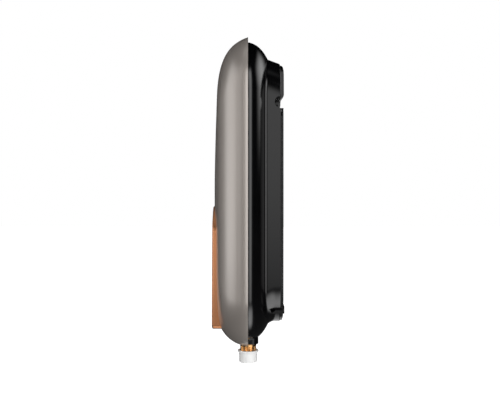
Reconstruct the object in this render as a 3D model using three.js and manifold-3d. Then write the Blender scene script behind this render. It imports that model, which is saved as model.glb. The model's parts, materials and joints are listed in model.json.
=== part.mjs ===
// A slim electric tankless water heater that hangs on a wall bracket.
// Millimetres, +Z up. The wall is the plane Y = 0, the heater's front faces -Y, and +X is its right side
// as one stands before it. The origin is the centre of the bracket's back.
import * as THREE from "three";
import { mergeVertices } from "three/addons/utils/BufferGeometryUtils.js";
import Module from "manifold-3d";

const wasm = await Module();
wasm.setup();

// Driving dimensions of the housing
const bodyWidth = 228;
const bodyHeight = 398.6;
const bodyRise = 19.65; // centre of the housing above the centre of the bracket
const seamFromWall = 46; // the two shells meet here, and the water pipes run in this plane
const coverDepth = 44.8; // seam to the crown of the cover
const rearDepth = 41.2; // seam to the back of the rear shell
const shellWall = 2.5;
const cornerTop = 72;
const cornerBottom = 67;
const rimStep = 6; // the cover's rim stands out past the rear shell
const rimWidth = 9; // width of the cover's flat back edge
const gasketThickness = 1;

// Clearances that pieces share
const gap = 0.3; // between pieces that seat in each other
const overrun = 2; // a cut runs past the face it opens
const weld = 0.001; // points closer than this are one
const half = 0.5;

// Places that follow from the driving dimensions
const halfWidth = bodyWidth * half;
const bodyTop = bodyRise + bodyHeight * half;
const bodyBottom = bodyRise - bodyHeight * half;
const seamY = -seamFromWall;
const coverBackY = seamY - gasketThickness * half;
const rearFrontY = seamY + gasketThickness * half;
const rearBackY = seamY + rearDepth;
const rearFloorY = rearBackY - shellWall;

// Finishes
function finish(color, roughness, metalness) {
  return new THREE.MeshStandardMaterial({ color, roughness, metalness });
}

const champagne = finish(0x9b948e, 0.35, 0.75);
const glossBlack = finish(0x0c0c0d, 0.15, 0);
const copper = finish(0xb9805c, 0.3, 0.9);
const darkGlass = finish(0x101216, 0.08, 0);
const blackSteel = finish(0x1a1a1b, 0.45, 0.3);
const brass = finish(0xd79a5b, 0.3, 0.95);
const whitePlastic = finish(0xe6e6e4, 0.45, 0);
const rubber = finish(0x1c1c1c, 0.8, 0);
const steel = finish(0xb9bcc0, 0.3, 0.9);
const copperPipe = finish(0xc27a4e, 0.35, 0.9);
const boardGreen = finish(0x2c5f3d, 0.6, 0);
const greyPlastic = finish(0x6f7377, 0.6, 0);
const bluePlastic = finish(0x2d5a91, 0.6, 0);
const aluminium = finish(0xa9adb2, 0.45, 0.85);
const liveBrown = finish(0x5a3a25, 0.6, 0);
const neutralBlue = finish(0x2d4f8f, 0.6, 0);
const earthGreen = finish(0x5a8f2d, 0.6, 0);

// Solids from geometries
function solid(geometry) {
  const bare = geometry.index ? geometry.toNonIndexed() : geometry.clone();
  bare.deleteAttribute("normal");
  bare.deleteAttribute("uv");
  const merged = mergeVertices(bare, weld);
  const vertProperties = merged.attributes.position.array;
  const triVerts = new Uint32Array(merged.index.array);
  const made = new wasm.Manifold(new wasm.Mesh({ numProp: 3, vertProperties, triVerts }));
  if (made.volume() > 0) return made;
  for (let i = 0; i < triVerts.length; i += 3) {
    [triVerts[i + 1], triVerts[i + 2]] = [triVerts[i + 2], triVerts[i + 1]];
  }
  return new wasm.Manifold(new wasm.Mesh({ numProp: 3, vertProperties, triVerts }));
}

const join = (first, ...others) => others.reduce((sum, body) => sum.add(body), first);
const cut = (first, ...tools) => tools.reduce((left, tool) => left.subtract(tool), first);

// A box by its centre, or by its two corners.
function block(width, depth, height, x, y, z) {
  return solid(new THREE.BoxGeometry(width, depth, height).translate(x, y, z));
}

function blockBetween(x1, x2, y1, y2, z1, z2) {
  const middle = (a, b) => (a + b) * half;
  return block(x2 - x1, y2 - y1, z2 - z1, middle(x1, x2), middle(y1, y2), middle(z1, z2));
}

// Round bars along each axis, from one end to the other.
function rodX(radius, x1, x2, y, z, sides = 16) {
  const bar = new THREE.CylinderGeometry(radius, radius, x2 - x1, sides).rotateZ(Math.PI * half);
  return solid(bar.translate((x1 + x2) * half, y, z));
}

function rodY(radius, x, y1, y2, z, sides = 16) {
  const bar = new THREE.CylinderGeometry(radius, radius, y2 - y1, sides);
  return solid(bar.translate(x, (y1 + y2) * half, z));
}

function rodZ(radius, x, y, z1, z2, sides = 16) {
  const bar = new THREE.CylinderGeometry(radius, radius, z2 - z1, sides).rotateX(Math.PI * half);
  return solid(bar.translate(x, y, (z1 + z2) * half));
}

// A turned piece about a vertical axis; the profile is a closed list of [radius, height].
function turned(profile, x, y, sides = 24) {
  const points = profile.map(([radius, height]) => new THREE.Vector2(radius, height));
  points.push(points[0].clone());
  return solid(new THREE.LatheGeometry(points, sides).rotateX(Math.PI * half).translate(x, y, 0));
}

// The same about an axis that runs front to back; heights grow towards the front.
function turnedToFront(profile, x, y, z, sides = 20) {
  const points = profile.map(([radius, height]) => new THREE.Vector2(radius, height));
  points.push(points[0].clone());
  return solid(new THREE.LatheGeometry(points, sides).rotateX(Math.PI).translate(x, y, z));
}

// An outline in X and Z, from the plane Y = back towards the front.
function frontPlate(outline, back, thickness, bevel = 0) {
  const geometry = new THREE.ExtrudeGeometry(outline, {
    depth: thickness - bevel,
    bevelEnabled: bevel > 0,
    bevelThickness: bevel,
    bevelSize: bevel,
    bevelOffset: -bevel,
    bevelSegments: 2,
    curveSegments: 3,
  });
  return solid(geometry.rotateX(Math.PI * half).translate(0, back, 0));
}

// An outline in Y and Z, drawn out along X.
function sidePlate(points, x1, x2) {
  const outline = new THREE.Shape(points.map(([y, z]) => new THREE.Vector2(y, z)));
  const geometry = new THREE.ExtrudeGeometry(outline, { depth: x2 - x1, bevelEnabled: false });
  const turn = new THREE.Matrix4().makeBasis(
    new THREE.Vector3(0, 1, 0),
    new THREE.Vector3(0, 0, 1),
    new THREE.Vector3(1, 0, 0),
  );
  return solid(geometry.applyMatrix4(turn).translate(x1, 0, 0));
}

// A rounded rectangle in X and Z.
function roundedOutline(x1, x2, z1, z2, radius) {
  const outline = new THREE.Shape();
  outline.moveTo(x1 + radius, z1);
  outline.lineTo(x2 - radius, z1);
  outline.absarc(x2 - radius, z1 + radius, radius, -Math.PI * half, 0);
  outline.lineTo(x2, z2 - radius);
  outline.absarc(x2 - radius, z2 - radius, radius, 0, Math.PI * half);
  outline.lineTo(x1 + radius, z2);
  outline.absarc(x1 + radius, z2 - radius, radius, Math.PI * half, Math.PI);
  outline.lineTo(x1, z1 + radius);
  outline.absarc(x1 + radius, z1 + radius, radius, Math.PI, Math.PI * (1 + half));
  return outline;
}

// A tube or a wire along a smooth line through points.
function tube(points, radius, bore, steps, sides) {
  const places = points.map(([x, y, z]) => new THREE.Vector3(x, y, z));
  const path = new THREE.CatmullRomCurve3(places, false, "centripetal");
  const ring = new THREE.Shape();
  ring.absarc(0, 0, radius, 0, Math.PI * 2);
  if (bore > 0) ring.holes.push(new THREE.Path().absarc(0, 0, bore, 0, Math.PI * 2));
  return solid(new THREE.ExtrudeGeometry(ring, { extrudePath: path, steps, curveSegments: sides }));
}

// A pipe that starts and ends straight, with one smooth bend between. reach is how far it keeps its way.
function bentPipe([start, first, second, end], reach, radius, bore, steps, sides) {
  const at = ([x, y, z]) => new THREE.Vector3(x, y, z);
  const along = (from, to, length) => at(to).add(at(to).sub(at(from)).setLength(length));
  const path = new THREE.CurvePath();
  path.add(new THREE.LineCurve3(at(start), at(first)));
  const leave = along(start, first, reach);
  const arrive = along(end, second, reach);
  path.add(new THREE.CubicBezierCurve3(at(first), leave, arrive, at(second)));
  path.add(new THREE.LineCurve3(at(second), at(end)));
  const ring = new THREE.Shape();
  ring.absarc(0, 0, radius, 0, Math.PI * 2);
  ring.holes.push(new THREE.Path().absarc(0, 0, bore, 0, Math.PI * 2));
  return solid(new THREE.ExtrudeGeometry(ring, { extrudePath: path, steps, curveSegments: sides }));
}

// A skin over rings that all have the same number of points, closed by a flat at each end.
function loft(rings) {
  const count = rings[0].length;
  const positions = rings.flat().flatMap((point) => point.toArray());
  const index = [];
  for (let level = 0; level + 1 < rings.length; level += 1) {
    for (let i = 0; i < count; i += 1) {
      const a = level * count + i;
      const b = level * count + ((i + 1) % count);
      index.push(a, b, a + count, b, b + count, a + count);
    }
  }
  const last = (rings.length - 1) * count;
  for (let i = 1; i + 1 < count; i += 1) {
    index.push(0, i + 1, i, last, last + i, last + i + 1);
  }
  const geometry = new THREE.BufferGeometry();
  geometry.setAttribute("position", new THREE.Float32BufferAttribute(positions, 3));
  geometry.setIndex(index);
  return solid(geometry);
}

const cubic = ([a, b, c, d], t) => {
  const s = 1 - t;
  return s * s * s * a + 3 * s * s * t * b + 3 * s * t * t * c + t * t * t * d;
};
const scaled = (shares, size) => shares.map((share) => share * size);
const mix = (a, b, share) => a + (b - a) * share;

// One ring of a shell: a rectangle whose corners are quarter ellipses.
const cornerSteps = 6;
const innerCornerSteps = 4;
function ring({ side, top, bottom, cornerWidth, cornerRise, cornerDrop, y, steps = cornerSteps }) {
  const points = [];
  const corners = [
    [side - cornerWidth, top - cornerRise, cornerRise, 0],
    [cornerWidth - side, top - cornerRise, cornerRise, 1],
    [cornerWidth - side, bottom + cornerDrop, cornerDrop, 2],
    [side - cornerWidth, bottom + cornerDrop, cornerDrop, 3],
  ];
  for (const [x, z, reach, quarter] of corners) {
    for (let i = 0; i <= steps; i += 1) {
      const angle = (quarter + i / steps) * Math.PI * half;
      points.push(new THREE.Vector3(x + cornerWidth * Math.cos(angle), y, z + reach * Math.sin(angle)));
    }
  }
  return points;
}

// Front cover: a pebble-shaped shell. Its section leaves the rim, rolls over a shoulder and ends in a
// low crown; top, sides and bottom each have their own shoulder.
const topShoulder = 66.7; // rim to the end of the shoulder, measured across the front
const sideShoulderShare = 0.632; // of half the width
const sideShoulder = halfWidth * sideShoulderShare;
const bottomShoulder = 35.7;
const topCrown = 203.5; // rim to the flat middle of the crown
const sideCrownShare = 0.93;
const sideCrown = halfWidth * sideCrownShare;
const bottomCrown = 120;
const shoulderDepthShares = [0, 0.395, 0.854, 0.912];
const crownDepthShares = [0.912, 0.932, 1, 1];
const topShoulderShares = [0, 0.09, 0.226, 1];
const sideShoulderShares = [0, 0.0625, 0.53, 1];
const bottomShoulderShares = [0, 0, 0.34, 1];
const topCrownShares = [0, 0.13, 0.67, 1];
const sideCrownShares = [0, 0.34, 0.7, 1];
const bottomCrownShares = [0, 0.1, 0.67, 1];
const shoulderLevels = 7;
const crownLevels = 3;
const innerShoulderLevels = 5; // the inside needs fewer rings
const innerCrownLevels = 2;
const shoulderRoundShare = 0.5; // corner reach on the crown, of what is left of the ring
const coverCornerShare = cornerTop / halfWidth;

function coverRing(depthShare, topInset, sideInset, bottomInset, wall) {
  const depth = depthShare * coverDepth;
  const side = halfWidth - Math.max(sideInset + wall, wall > 0 ? rimWidth : 0);
  const top = bodyTop - Math.max(topInset + wall, wall > 0 ? rimWidth : 0);
  const bottom = bodyBottom + Math.max(bottomInset + wall, wall > 0 ? rimWidth : 0);
  const blend = depthShare ** 4;
  const corner = (radius, extent, inset) => mix(radius - inset, extent * shoulderRoundShare, blend);
  return ring({
    side,
    top,
    bottom,
    cornerWidth: side * coverCornerShare,
    cornerRise: corner(cornerTop, top - bodyRise, bodyTop - top),
    cornerDrop: corner(cornerBottom, bodyRise - bottom, bottom - bodyBottom),
    y: coverBackY - depth * (1 - wall / coverDepth),
    steps: wall > 0 ? innerCornerSteps : cornerSteps,
  });
}

function coverBody(wall) {
  const rings = [];
  const shoulders = wall > 0 ? innerShoulderLevels : shoulderLevels;
  const crowns = wall > 0 ? innerCrownLevels : crownLevels;
  for (let i = 0; i <= shoulders; i += 1) {
    const t = i / shoulders;
    rings.push(
      coverRing(
        cubic(shoulderDepthShares, t),
        cubic(scaled(topShoulderShares, topShoulder), t),
        cubic(scaled(sideShoulderShares, sideShoulder), t),
        cubic(scaled(bottomShoulderShares, bottomShoulder), t),
        wall,
      ),
    );
  }
  for (let i = 1; i <= crowns; i += 1) {
    const t = i / crowns;
    rings.push(
      coverRing(
        cubic(crownDepthShares, t),
        mix(topShoulder, topCrown, cubic(topCrownShares, t)),
        mix(sideShoulder, sideCrown, cubic(sideCrownShares, t)),
        mix(bottomShoulder, bottomCrown, cubic(bottomCrownShares, t)),
        wall,
      ),
    );
  }
  return loft(rings);
}

// Rear shell: a shallow bowl with a narrower raised box on its back.
const bowlDepth = 30;
const bowlTopInset = 27.2;
const bowlSideShare = 0.526; // of half the width
const bowlSideInset = halfWidth * bowlSideShare;
const bowlBottomInset = 27.7;
const bowlDepthShares = [0, 0.333, 0.667, 1];
const bowlTopShares = [0, 0.075, 0.245, 1];
const bowlSideShares = [0, 0.042, 0.233, 1];
const bowlBottomShares = [0, 0.067, 0.212, 1];
const bowlLevels = 6;
const innerBowlLevels = 4;

function bowlBody(wall) {
  const rings = [];
  const levels = wall > 0 ? innerBowlLevels : bowlLevels;
  for (let i = 0; i <= levels; i += 1) {
    const t = i / levels;
    const topInset = rimStep + wall + cubic(scaled(bowlTopShares, bowlTopInset), t);
    const sideInset = rimStep + wall + cubic(scaled(bowlSideShares, bowlSideInset), t);
    const bottomInset = rimStep + wall + cubic(scaled(bowlBottomShares, bowlBottomInset), t);
    const side = halfWidth - sideInset;
    rings.push(
      ring({
        side,
        top: bodyTop - topInset,
        bottom: bodyBottom + bottomInset,
        cornerWidth: side * coverCornerShare,
        cornerRise: cornerTop - topInset,
        cornerDrop: cornerBottom - bottomInset,
        y: rearFrontY + cubic(bowlDepthShares, t) * (bowlDepth - wall),
        steps: wall > 0 ? innerCornerSteps : cornerSteps,
      }),
    );
  }
  return loft(rings);
}

const backSideInset = 34; // the raised box on the back is this much narrower on each side
const backWidth = bodyWidth - 2 * backSideInset;
const backTopInset = 27; // below the cover's top, where the raised box leaves the bowl
const backTopRun = 25; // depth from the seam where its sloping top starts
const backTopSlope = 0.37;
const backBottomInset = 30.6;
const backCorner = 52;
const backEdge = 2.4; // rounding of the back's edge
const backStart = 18; // depth from the seam at which the box starts, inside the bowl
const sideFlare = 3.5; // the sides run out into the bowl
const sideFlareRun = 8;
const bottomFlare = 9;
const bottomFlareRun = 14;
const flareStart = 20.5;
const backDepthShares = [0, 0.2, 0.32, 0.45, 0.65, 1];
const innerBackDepthShares = [0, 0.3, 1];
const backEdgeSteps = 2;

// What a flare still adds at this depth, easing out to nothing over its run.
function flareAt(depth, size, run) {
  const left = Math.min(1, Math.max(0, 1 - (depth - flareStart) / run));
  return size * left * left;
}

function backRing(depth, wall, trim) {
  const side = backWidth * half + flareAt(depth, sideFlare, sideFlareRun) - wall - trim;
  const top = bodyTop - backTopInset - (depth - backTopRun) * backTopSlope - wall - trim;
  const bottomInset = backBottomInset - flareAt(depth, bottomFlare, bottomFlareRun);
  const corner = backCorner - wall - trim;
  return ring({
    side,
    top,
    bottom: bodyBottom + bottomInset + wall + trim,
    cornerWidth: corner,
    cornerRise: corner,
    cornerDrop: corner,
    y: seamY + depth,
    steps: wall > 0 ? innerCornerSteps : cornerSteps,
  });
}

function backBody(wall) {
  const end = rearDepth - wall;
  const edge = Math.max(backEdge - wall, gap);
  const shares = wall > 0 ? innerBackDepthShares : backDepthShares;
  const steps = wall > 0 ? 1 : backEdgeSteps;
  const rings = shares.map((share) => backRing(mix(backStart, end - edge, share), wall, 0));
  for (let i = 1; i <= steps; i += 1) {
    const angle = (i / steps) * Math.PI * half;
    rings.push(backRing(end - edge + edge * Math.sin(angle), wall, edge * (1 - Math.cos(angle))));
  }
  return loft(rings);
}

// Wall bracket and the way the heater hangs on it
const bracketWidth = 88;
const bracketHeight = 257;
const bracketSheet = 1.6;
const bracketFlange = 3.1;
const bracketCorner = 10;
const hookSpacing = 36; // from the middle to each upper hook
const hookWidth = 14;
const hookReach = 9.7; // wall to the front of the hook's lip
const hookRise = 9.4; // the lip above the top of its arm
const lowerHookZ = -104;
const slotSpacing = 28;
const slotZ = 96;
const slotRadius = 3;
const slotLength = 12;
const liftTravel = 12;
const seatWidth = 22; // the recess in the shell round a hook
const seatDepth = 7.2;
const seatBelow = 15; // room under the hook's arm, so that the heater can be lifted
const barThickness = 2.9; // the bar of the shell that drops behind the lip

const bracketTop = bracketHeight * half;
const hookSheet = bracketSheet;
const upperArmZ = bracketTop - hookSheet * half;

function hook(x, armZ) {
  const under = armZ - hookSheet * half;
  const over = armZ + hookSheet * half;
  const lipBack = -hookReach + hookSheet;
  const profile = [
    [0, under],
    [-hookReach, under],
    [-hookReach, over + hookRise],
    [lipBack, over + hookRise],
    [lipBack, over],
    [0, over],
  ].reverse();
  return sidePlate(profile, x - hookWidth * half, x + hookWidth * half);
}

function slot(x, z) {
  const up = slotLength * half;
  return join(
    rodY(slotRadius, x, -bracketFlange - overrun, overrun, z + up, 12),
    rodY(slotRadius, x, -bracketFlange - overrun, overrun, z - up, 12),
    block(2 * slotRadius, 2 * (bracketFlange + overrun), slotLength, x, 0, z),
  );
}

function wallBracket() {
  const side = bracketWidth * half;
  const outline = roundedOutline(-side, side, -bracketTop, bracketTop, bracketCorner);
  const web = frontPlate(outline, 0, bracketSheet);
  const flangeEnd = bracketTop - bracketCorner;
  const flange = (x) =>
    blockBetween(x, x + bracketSheet, -bracketFlange, 0, -flangeEnd, flangeEnd);
  const slots = [-slotSpacing, slotSpacing].flatMap((x) => [slot(x, slotZ), slot(x, -slotZ)]);
  return cut(
    join(
      web,
      flange(-side),
      flange(side - bracketSheet),
      hook(-hookSpacing, upperArmZ),
      hook(hookSpacing, upperArmZ),
      hook(0, lowerHookZ),
    ),
    ...slots,
  );
}

// Recess round a hook, and the bar that hangs behind the hook's lip.
function hookRecess(x, armZ, grow) {
  const side = seatWidth * half + grow;
  const front = rearBackY - seatDepth - grow;
  const bottom = armZ - seatBelow - grow;
  const top = armZ + hookSheet * half + hookRise + liftTravel * half - barThickness + grow;
  return blockBetween(x - side, x + side, front, overrun, bottom, top);
}

function hookBar(x, armZ) {
  const side = seatWidth * half + shellWall * half;
  const bottom = armZ + hookSheet * half + gap;
  const top = armZ + hookSheet * half + hookRise + liftTravel * half;
  return blockBetween(x - side, x + side, rearBackY - barThickness, rearBackY, bottom, top);
}

const hookPlaces = [
  [-hookSpacing, upperArmZ],
  [hookSpacing, upperArmZ],
  [0, lowerHookZ],
];

// Hand groove across the back at the level of the upper hooks
const grooveRadius = 7.8;
const grooveRise = 3; // middle of the groove above the bracket's top
const grooveZ = bracketTop + grooveRise;
const grooveReach = backWidth * half + sideFlare + overrun;

function groove(grow) {
  return rodX(grooveRadius + grow, -grooveReach, grooveReach, rearBackY, grooveZ, 14);
}

// Pad above the groove that rests against the wall
const padEnd = 18; // from the side of the raised box
const padSide = backWidth * half - padEnd;
const padProud = 3;
const padTopZ = 176;
const padTopFall = 1.1; // the pad leans back towards its top
const padSlope = 10; // height of its sloping lower edge
const padEdge = 8; // the pad's top edge lies this far below the top of the raised box
const padRise = 1.5; // lower end of the slope above the groove's middle
const padBottomZ = grooveZ + padRise;

function backPad() {
  const face = rearBackY + padProud;
  const inside = rearBackY - shellWall * half;
  const profile = [
    [inside, padBottomZ],
    [rearBackY, padBottomZ],
    [face, padBottomZ + padSlope],
    [face - padTopFall, padTopZ],
    [inside, padTopZ + padProud],
  ];
  const side = backWidth * half - backEdge;
  const top = bodyTop - backTopInset - padEdge;
  const outline = roundedOutline(-side, side, -bracketTop, top, backCorner - backEdge);
  return sidePlate(profile, -padSide, padSide).intersect(frontPlate(outline, 0, rearDepth));
}

// Lower pad, under the feet, that rests against the wall too
const lowerPadSide = 58;
const lowerPadTopZ = -132;
const lowerPadBottomZ = -146.5;
const lowerPadProud = 2.6;
const lowerPadFall = 1; // it leans back towards its lower edge

function lowerPad() {
  const face = rearBackY + lowerPadProud;
  const inside = rearBackY - shellWall * half;
  const profile = [
    [inside, lowerPadBottomZ],
    [face - lowerPadFall, lowerPadBottomZ],
    [face, lowerPadTopZ],
    [inside, lowerPadTopZ + lowerPadProud],
  ].reverse();
  const side = backWidth * half - gap;
  const bottom = bodyBottom + backBottomInset + gap;
  const outline = roundedOutline(-side, side, bottom, grooveZ, backCorner - gap);
  return sidePlate(profile, -lowerPadSide, lowerPadSide).intersect(frontPlate(outline, 0, rearDepth));
}

// Feet that hold the lower corners off the wall
const footTopZ = -125.5;
const footThickness = 7.3;
const footLength = 28;
const footTipX = backWidth * half;
const footRootX = footTipX - footLength;
const footTopRun = 11.2; // from the wall along the foot's top
const footBottomRun = 18;
const footLip = 3;

function foot(mirror) {
  const profile = [
    [-gap, footTopZ - footThickness],
    [-gap, footTopZ + footLip],
    [-footLip, footTopZ + footLip],
    [-footLip, footTopZ],
    [-footTopRun, footTopZ],
    [-footBottomRun, footTopZ - footThickness],
  ];
  const body = sidePlate(profile, footRootX, footTipX);
  return mirror ? body.mirror([1, 0, 0]) : body;
}

// Water pipes
const pipeSpacing = 100;
const threadRadius = 10.48; // half-inch pipe thread
const pipeHole = threadRadius + gap;
const collarRadius = 13.2;
const collarDrop = 0.3; // below the shells' lower edge
const collarRoot = 16;
const stubReach = 15.1; // out of the shells
const stubEndZ = bodyBottom - stubReach;
const pipeX = pipeSpacing * half;
const collarBottomZ = bodyBottom - collarDrop;

function collar(x, y1, y2, radius, drop) {
  const round = rodZ(radius, x, seamY, bodyBottom - drop, bodyBottom + collarRoot, 20);
  const reach = 2 * radius;
  const top = bodyBottom + collarRoot;
  return round.intersect(blockBetween(x - reach, x + reach, y1, y2, bodyBottom - reach, top));
}

function pipeHoles() {
  const end = bodyBottom + collarRoot + overrun;
  return [-pipeX, pipeX].map((x) => rodZ(pipeHole, x, seamY, collarBottomZ - overrun, end, 20));
}

// Screws that draw the two shells together, and their wells and bosses
const screwInset = 14; // from the side of the raised box
const screwSpacing = backWidth * half - screwInset;
const screwTopZ = 100;
const screwBottomZ = -66;
const wellRadius = 6.5;
const wellBore = 4.2;
const wellFloor = 3.6;
const screwHole = 2;
const bossRadius = 4.6;
const bossBore = 12;
const shankRadius = 1.7;
const shankLength = 13;
const headRadius = 3.5;
const headHeight = 2.4;
const screwPlaces = [-screwSpacing, screwSpacing].flatMap((x) => [
  [x, screwTopZ],
  [x, screwBottomZ],
]);

function screwWell([x, z]) {
  return rodY(wellRadius, x, rearFrontY, rearFloorY + shellWall * half, z, 10);
}

function screwWellBore([x, z]) {
  const bore = rodY(wellBore, x, rearFrontY + wellFloor, overrun, z, 10);
  return bore.add(rodY(screwHole, x, rearFrontY - overrun, 0, z, 10));
}

function coverBoss([x, z]) {
  return rodY(bossRadius, x, coverBackY - coverDepth, coverBackY, z, 10);
}

function coverBossBore([x, z]) {
  return rodY(screwHole, x, coverBackY - bossBore, coverBackY + overrun, z, 10);
}

// A pan-head screw whose head rests on a face that looks along the given way.
function screw(radius, length, head, height) {
  return [
    [0, -length],
    [radius, -length],
    [radius, 0],
    [head, 0],
    [head, height],
    [0, height],
  ];
}

function turnedAlong(profile, quaternion, x, y, z, sides) {
  const points = profile.map(([radius, height]) => new THREE.Vector2(radius, height));
  const geometry = new THREE.LatheGeometry(points, sides);
  return solid(geometry.applyQuaternion(quaternion).translate(x, y, z));
}

const towardsWall = new THREE.Quaternion();
const towardsFront = new THREE.Quaternion().setFromAxisAngle(new THREE.Vector3(1, 0, 0), Math.PI);
const upwards = new THREE.Quaternion().setFromAxisAngle(new THREE.Vector3(1, 0, 0), Math.PI * half);

// Copper bezel on the lower front, a shield with a low pointed top
const bezelFrontFromSeam = 47.3;
const bezelTopZ = 1;
const bezelBottomZ = -159;
const bezelShoulderX = 37;
const bezelShoulderDrop = 33; // apex to the shoulders
const bezelHalfWidth = 45;
const bezelFoot = 6; // rounding of the lower corners
const bezelEdge = 2.2;
const bezelWall = 2.5;
const bezelNeckInset = 4; // the bezel's neck passes through the cover
const bezelNeckDepth = 12;
const bezelFrontY = seamY - bezelFrontFromSeam;
const bezelBackY = bezelFrontY + bezelNeckDepth;

const bezelFlankShare = 0.55; // where a flank starts to draw in
const bezelEaveShare = 0.92;
const bezelEaveRiseShare = 0.35;
const bezelRoofRiseShare = 0.72;
const bezelApexShare = 0.2;

function bezelOutline(inset) {
  const top = bezelTopZ - inset;
  const bottom = bezelBottomZ + inset;
  const side = bezelHalfWidth - inset;
  const shoulder = bezelShoulderX - inset;
  const shoulderZ = bezelTopZ - bezelShoulderDrop;
  const flankZ = mix(bottom, shoulderZ, bezelFlankShare);
  const eaveZ = mix(shoulderZ, top, bezelEaveRiseShare);
  const roofZ = mix(shoulderZ, top, bezelRoofRiseShare);
  const outline = new THREE.Shape();
  outline.moveTo(-side + bezelFoot, bottom);
  outline.lineTo(side - bezelFoot, bottom);
  outline.quadraticCurveTo(side, bottom, side, bottom + bezelFoot);
  outline.bezierCurveTo(side, flankZ, shoulder, shoulderZ - bezelFoot, shoulder, shoulderZ);
  outline.quadraticCurveTo(shoulder * bezelEaveShare, eaveZ, shoulder * half, roofZ);
  outline.quadraticCurveTo(shoulder * bezelApexShare, top, 0, top);
  outline.quadraticCurveTo(-shoulder * bezelApexShare, top, -shoulder * half, roofZ);
  outline.quadraticCurveTo(-shoulder * bezelEaveShare, eaveZ, -shoulder, shoulderZ);
  outline.bezierCurveTo(-shoulder, shoulderZ - bezelFoot, -side, flankZ, -side, bottom + bezelFoot);
  outline.quadraticCurveTo(-side, bottom, -side + bezelFoot, bottom);
  return outline;
}

// Display glass let into the bezel, and the keys below it
const glassSide = 29;
const glassTopZ = -44;
const glassBottomZ = -108;
const glassCorner = 6;
const glassThickness = 2;
const glassSeat = 2.5; // width of the rebate that carries the glass
const keyRadius = 6.2;
const keyZ = -131;
const keySpacing = 21;
const keyTravel = 0.8;
const keyProud = 0.4;
const keyFlange = 1.2;
const keyFlangeHeight = 1;
const keyStemRadius = 1.6;
const keyPlaces = [
  ["minus_key", -keySpacing],
  ["power_key", 0],
  ["plus_key", keySpacing],
];
const boardSide = 29.5;
const boardTopZ = -36;
const boardBottomZ = -148;
const boardThickness = 1.6;
const boardBackY = bezelBackY - boardThickness;
const switchHeight = 3.4;
const switchWidth = 6;
const postRadius = 2.6;
const postInset = 3.6;
const postPlaces = [-1, 1].flatMap((side) => [
  [side * (boardSide - postInset), boardTopZ - postInset],
  [side * (boardSide - postInset), boardBottomZ + postInset],
]);
const boardFrontY = boardBackY - boardThickness;
const displayPostLength = 4; // what a screw takes of the bezel's post

function frontCover() {
  const outer = coverBody(0);
  const shell = cut(outer, coverBody(shellWall));
  const bosses = join(...screwPlaces.map(coverBoss)).intersect(coverBody(shellWall * half));
  const halves = [-pipeX, pipeX].map((x) =>
    collar(x, seamY - collarRadius, coverBackY, collarRadius - gap, collarDrop),
  );
  const window = frontPlate(bezelOutline(bezelNeckInset - gap), seamY, coverDepth + overrun);
  return cut(
    join(shell, bosses, ...halves),
    window,
    ...screwPlaces.map(coverBossBore),
    ...pipeHoles(),
  );
}

function rearShell() {
  const recesses = hookPlaces.map(([x, z]) => hookRecess(x, z, 0));
  const recessWalls = hookPlaces.map(([x, z]) => hookRecess(x, z, shellWall));
  const outer = join(bowlBody(0), backBody(0), backPad(), lowerPad(), foot(false), foot(true));
  const inner = cut(join(bowlBody(shellWall), backBody(shellWall)), groove(shellWall), ...recessWalls);
  const collars = [-pipeX, pipeX].map((x) =>
    collar(x, rearFrontY, seamY + collarRadius, collarRadius, collarDrop),
  );
  const open = cut(outer, inner, groove(0), ...recesses);
  const entry = rodY(entryRadius, entryX, rearFloorY - overrun, overrun, entryZ, 14);
  const bars = hookPlaces.map(([x, z]) => hookBar(x, z));
  return cut(
    join(open, ...bars, ...screwPlaces.map(screwWell), ...collars, rearPosts()),
    ...screwPlaces.map(screwWellBore),
    ...pipeHoles(),
    ...yokeBores(),
    entry,
  );
}

// The gasket runs round the seam from pipe to pipe; water can leave between them.
const gasketWidth = 2;
const gasketInset = 6.5;

function seamGasket() {
  const outline = (inset, y) =>
    ring({
      side: halfWidth - inset,
      top: bodyTop - inset,
      bottom: bodyBottom + inset,
      cornerWidth: (halfWidth - inset) * coverCornerShare,
      cornerRise: cornerTop - inset,
      cornerDrop: cornerBottom - inset,
      y,
    });
  const body = cut(
    loft([outline(gasketInset, coverBackY), outline(gasketInset, rearFrontY)]),
    loft([
      outline(gasketInset + gasketWidth, coverBackY - overrun),
      outline(gasketInset + gasketWidth, rearFrontY + overrun),
    ]),
  );
  const side = pipeX + pipeHole + gap;
  const front = coverBackY - overrun;
  const back = rearFrontY + overrun;
  return cut(body, blockBetween(-side, side, front, back, bodyBottom, bodyBottom + cornerBottom));
}

// Cable entry through the back
const entryX = -38;
const entryZ = 160;
const entryRadius = 9;
const grommetLip = 1.2;
const grommetBore = 5;

function cableGrommet() {
  const outside = rearBackY + padProud;
  const face = outside + grommetLip;
  const profile = [
    [grommetBore, -face],
    [entryRadius + 2 * grommetLip, -face],
    [entryRadius + 2 * grommetLip, -outside],
    [entryRadius - gap, -outside],
    [entryRadius - gap, -rearFloorY],
    [entryRadius + 2 * grommetLip, -rearFloorY],
    [entryRadius + 2 * grommetLip, -rearFloorY + grommetLip],
    [grommetBore, -rearFloorY + grommetLip],
  ];
  return turnedToFront(profile, entryX, 0, entryZ, 14);
}

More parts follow.
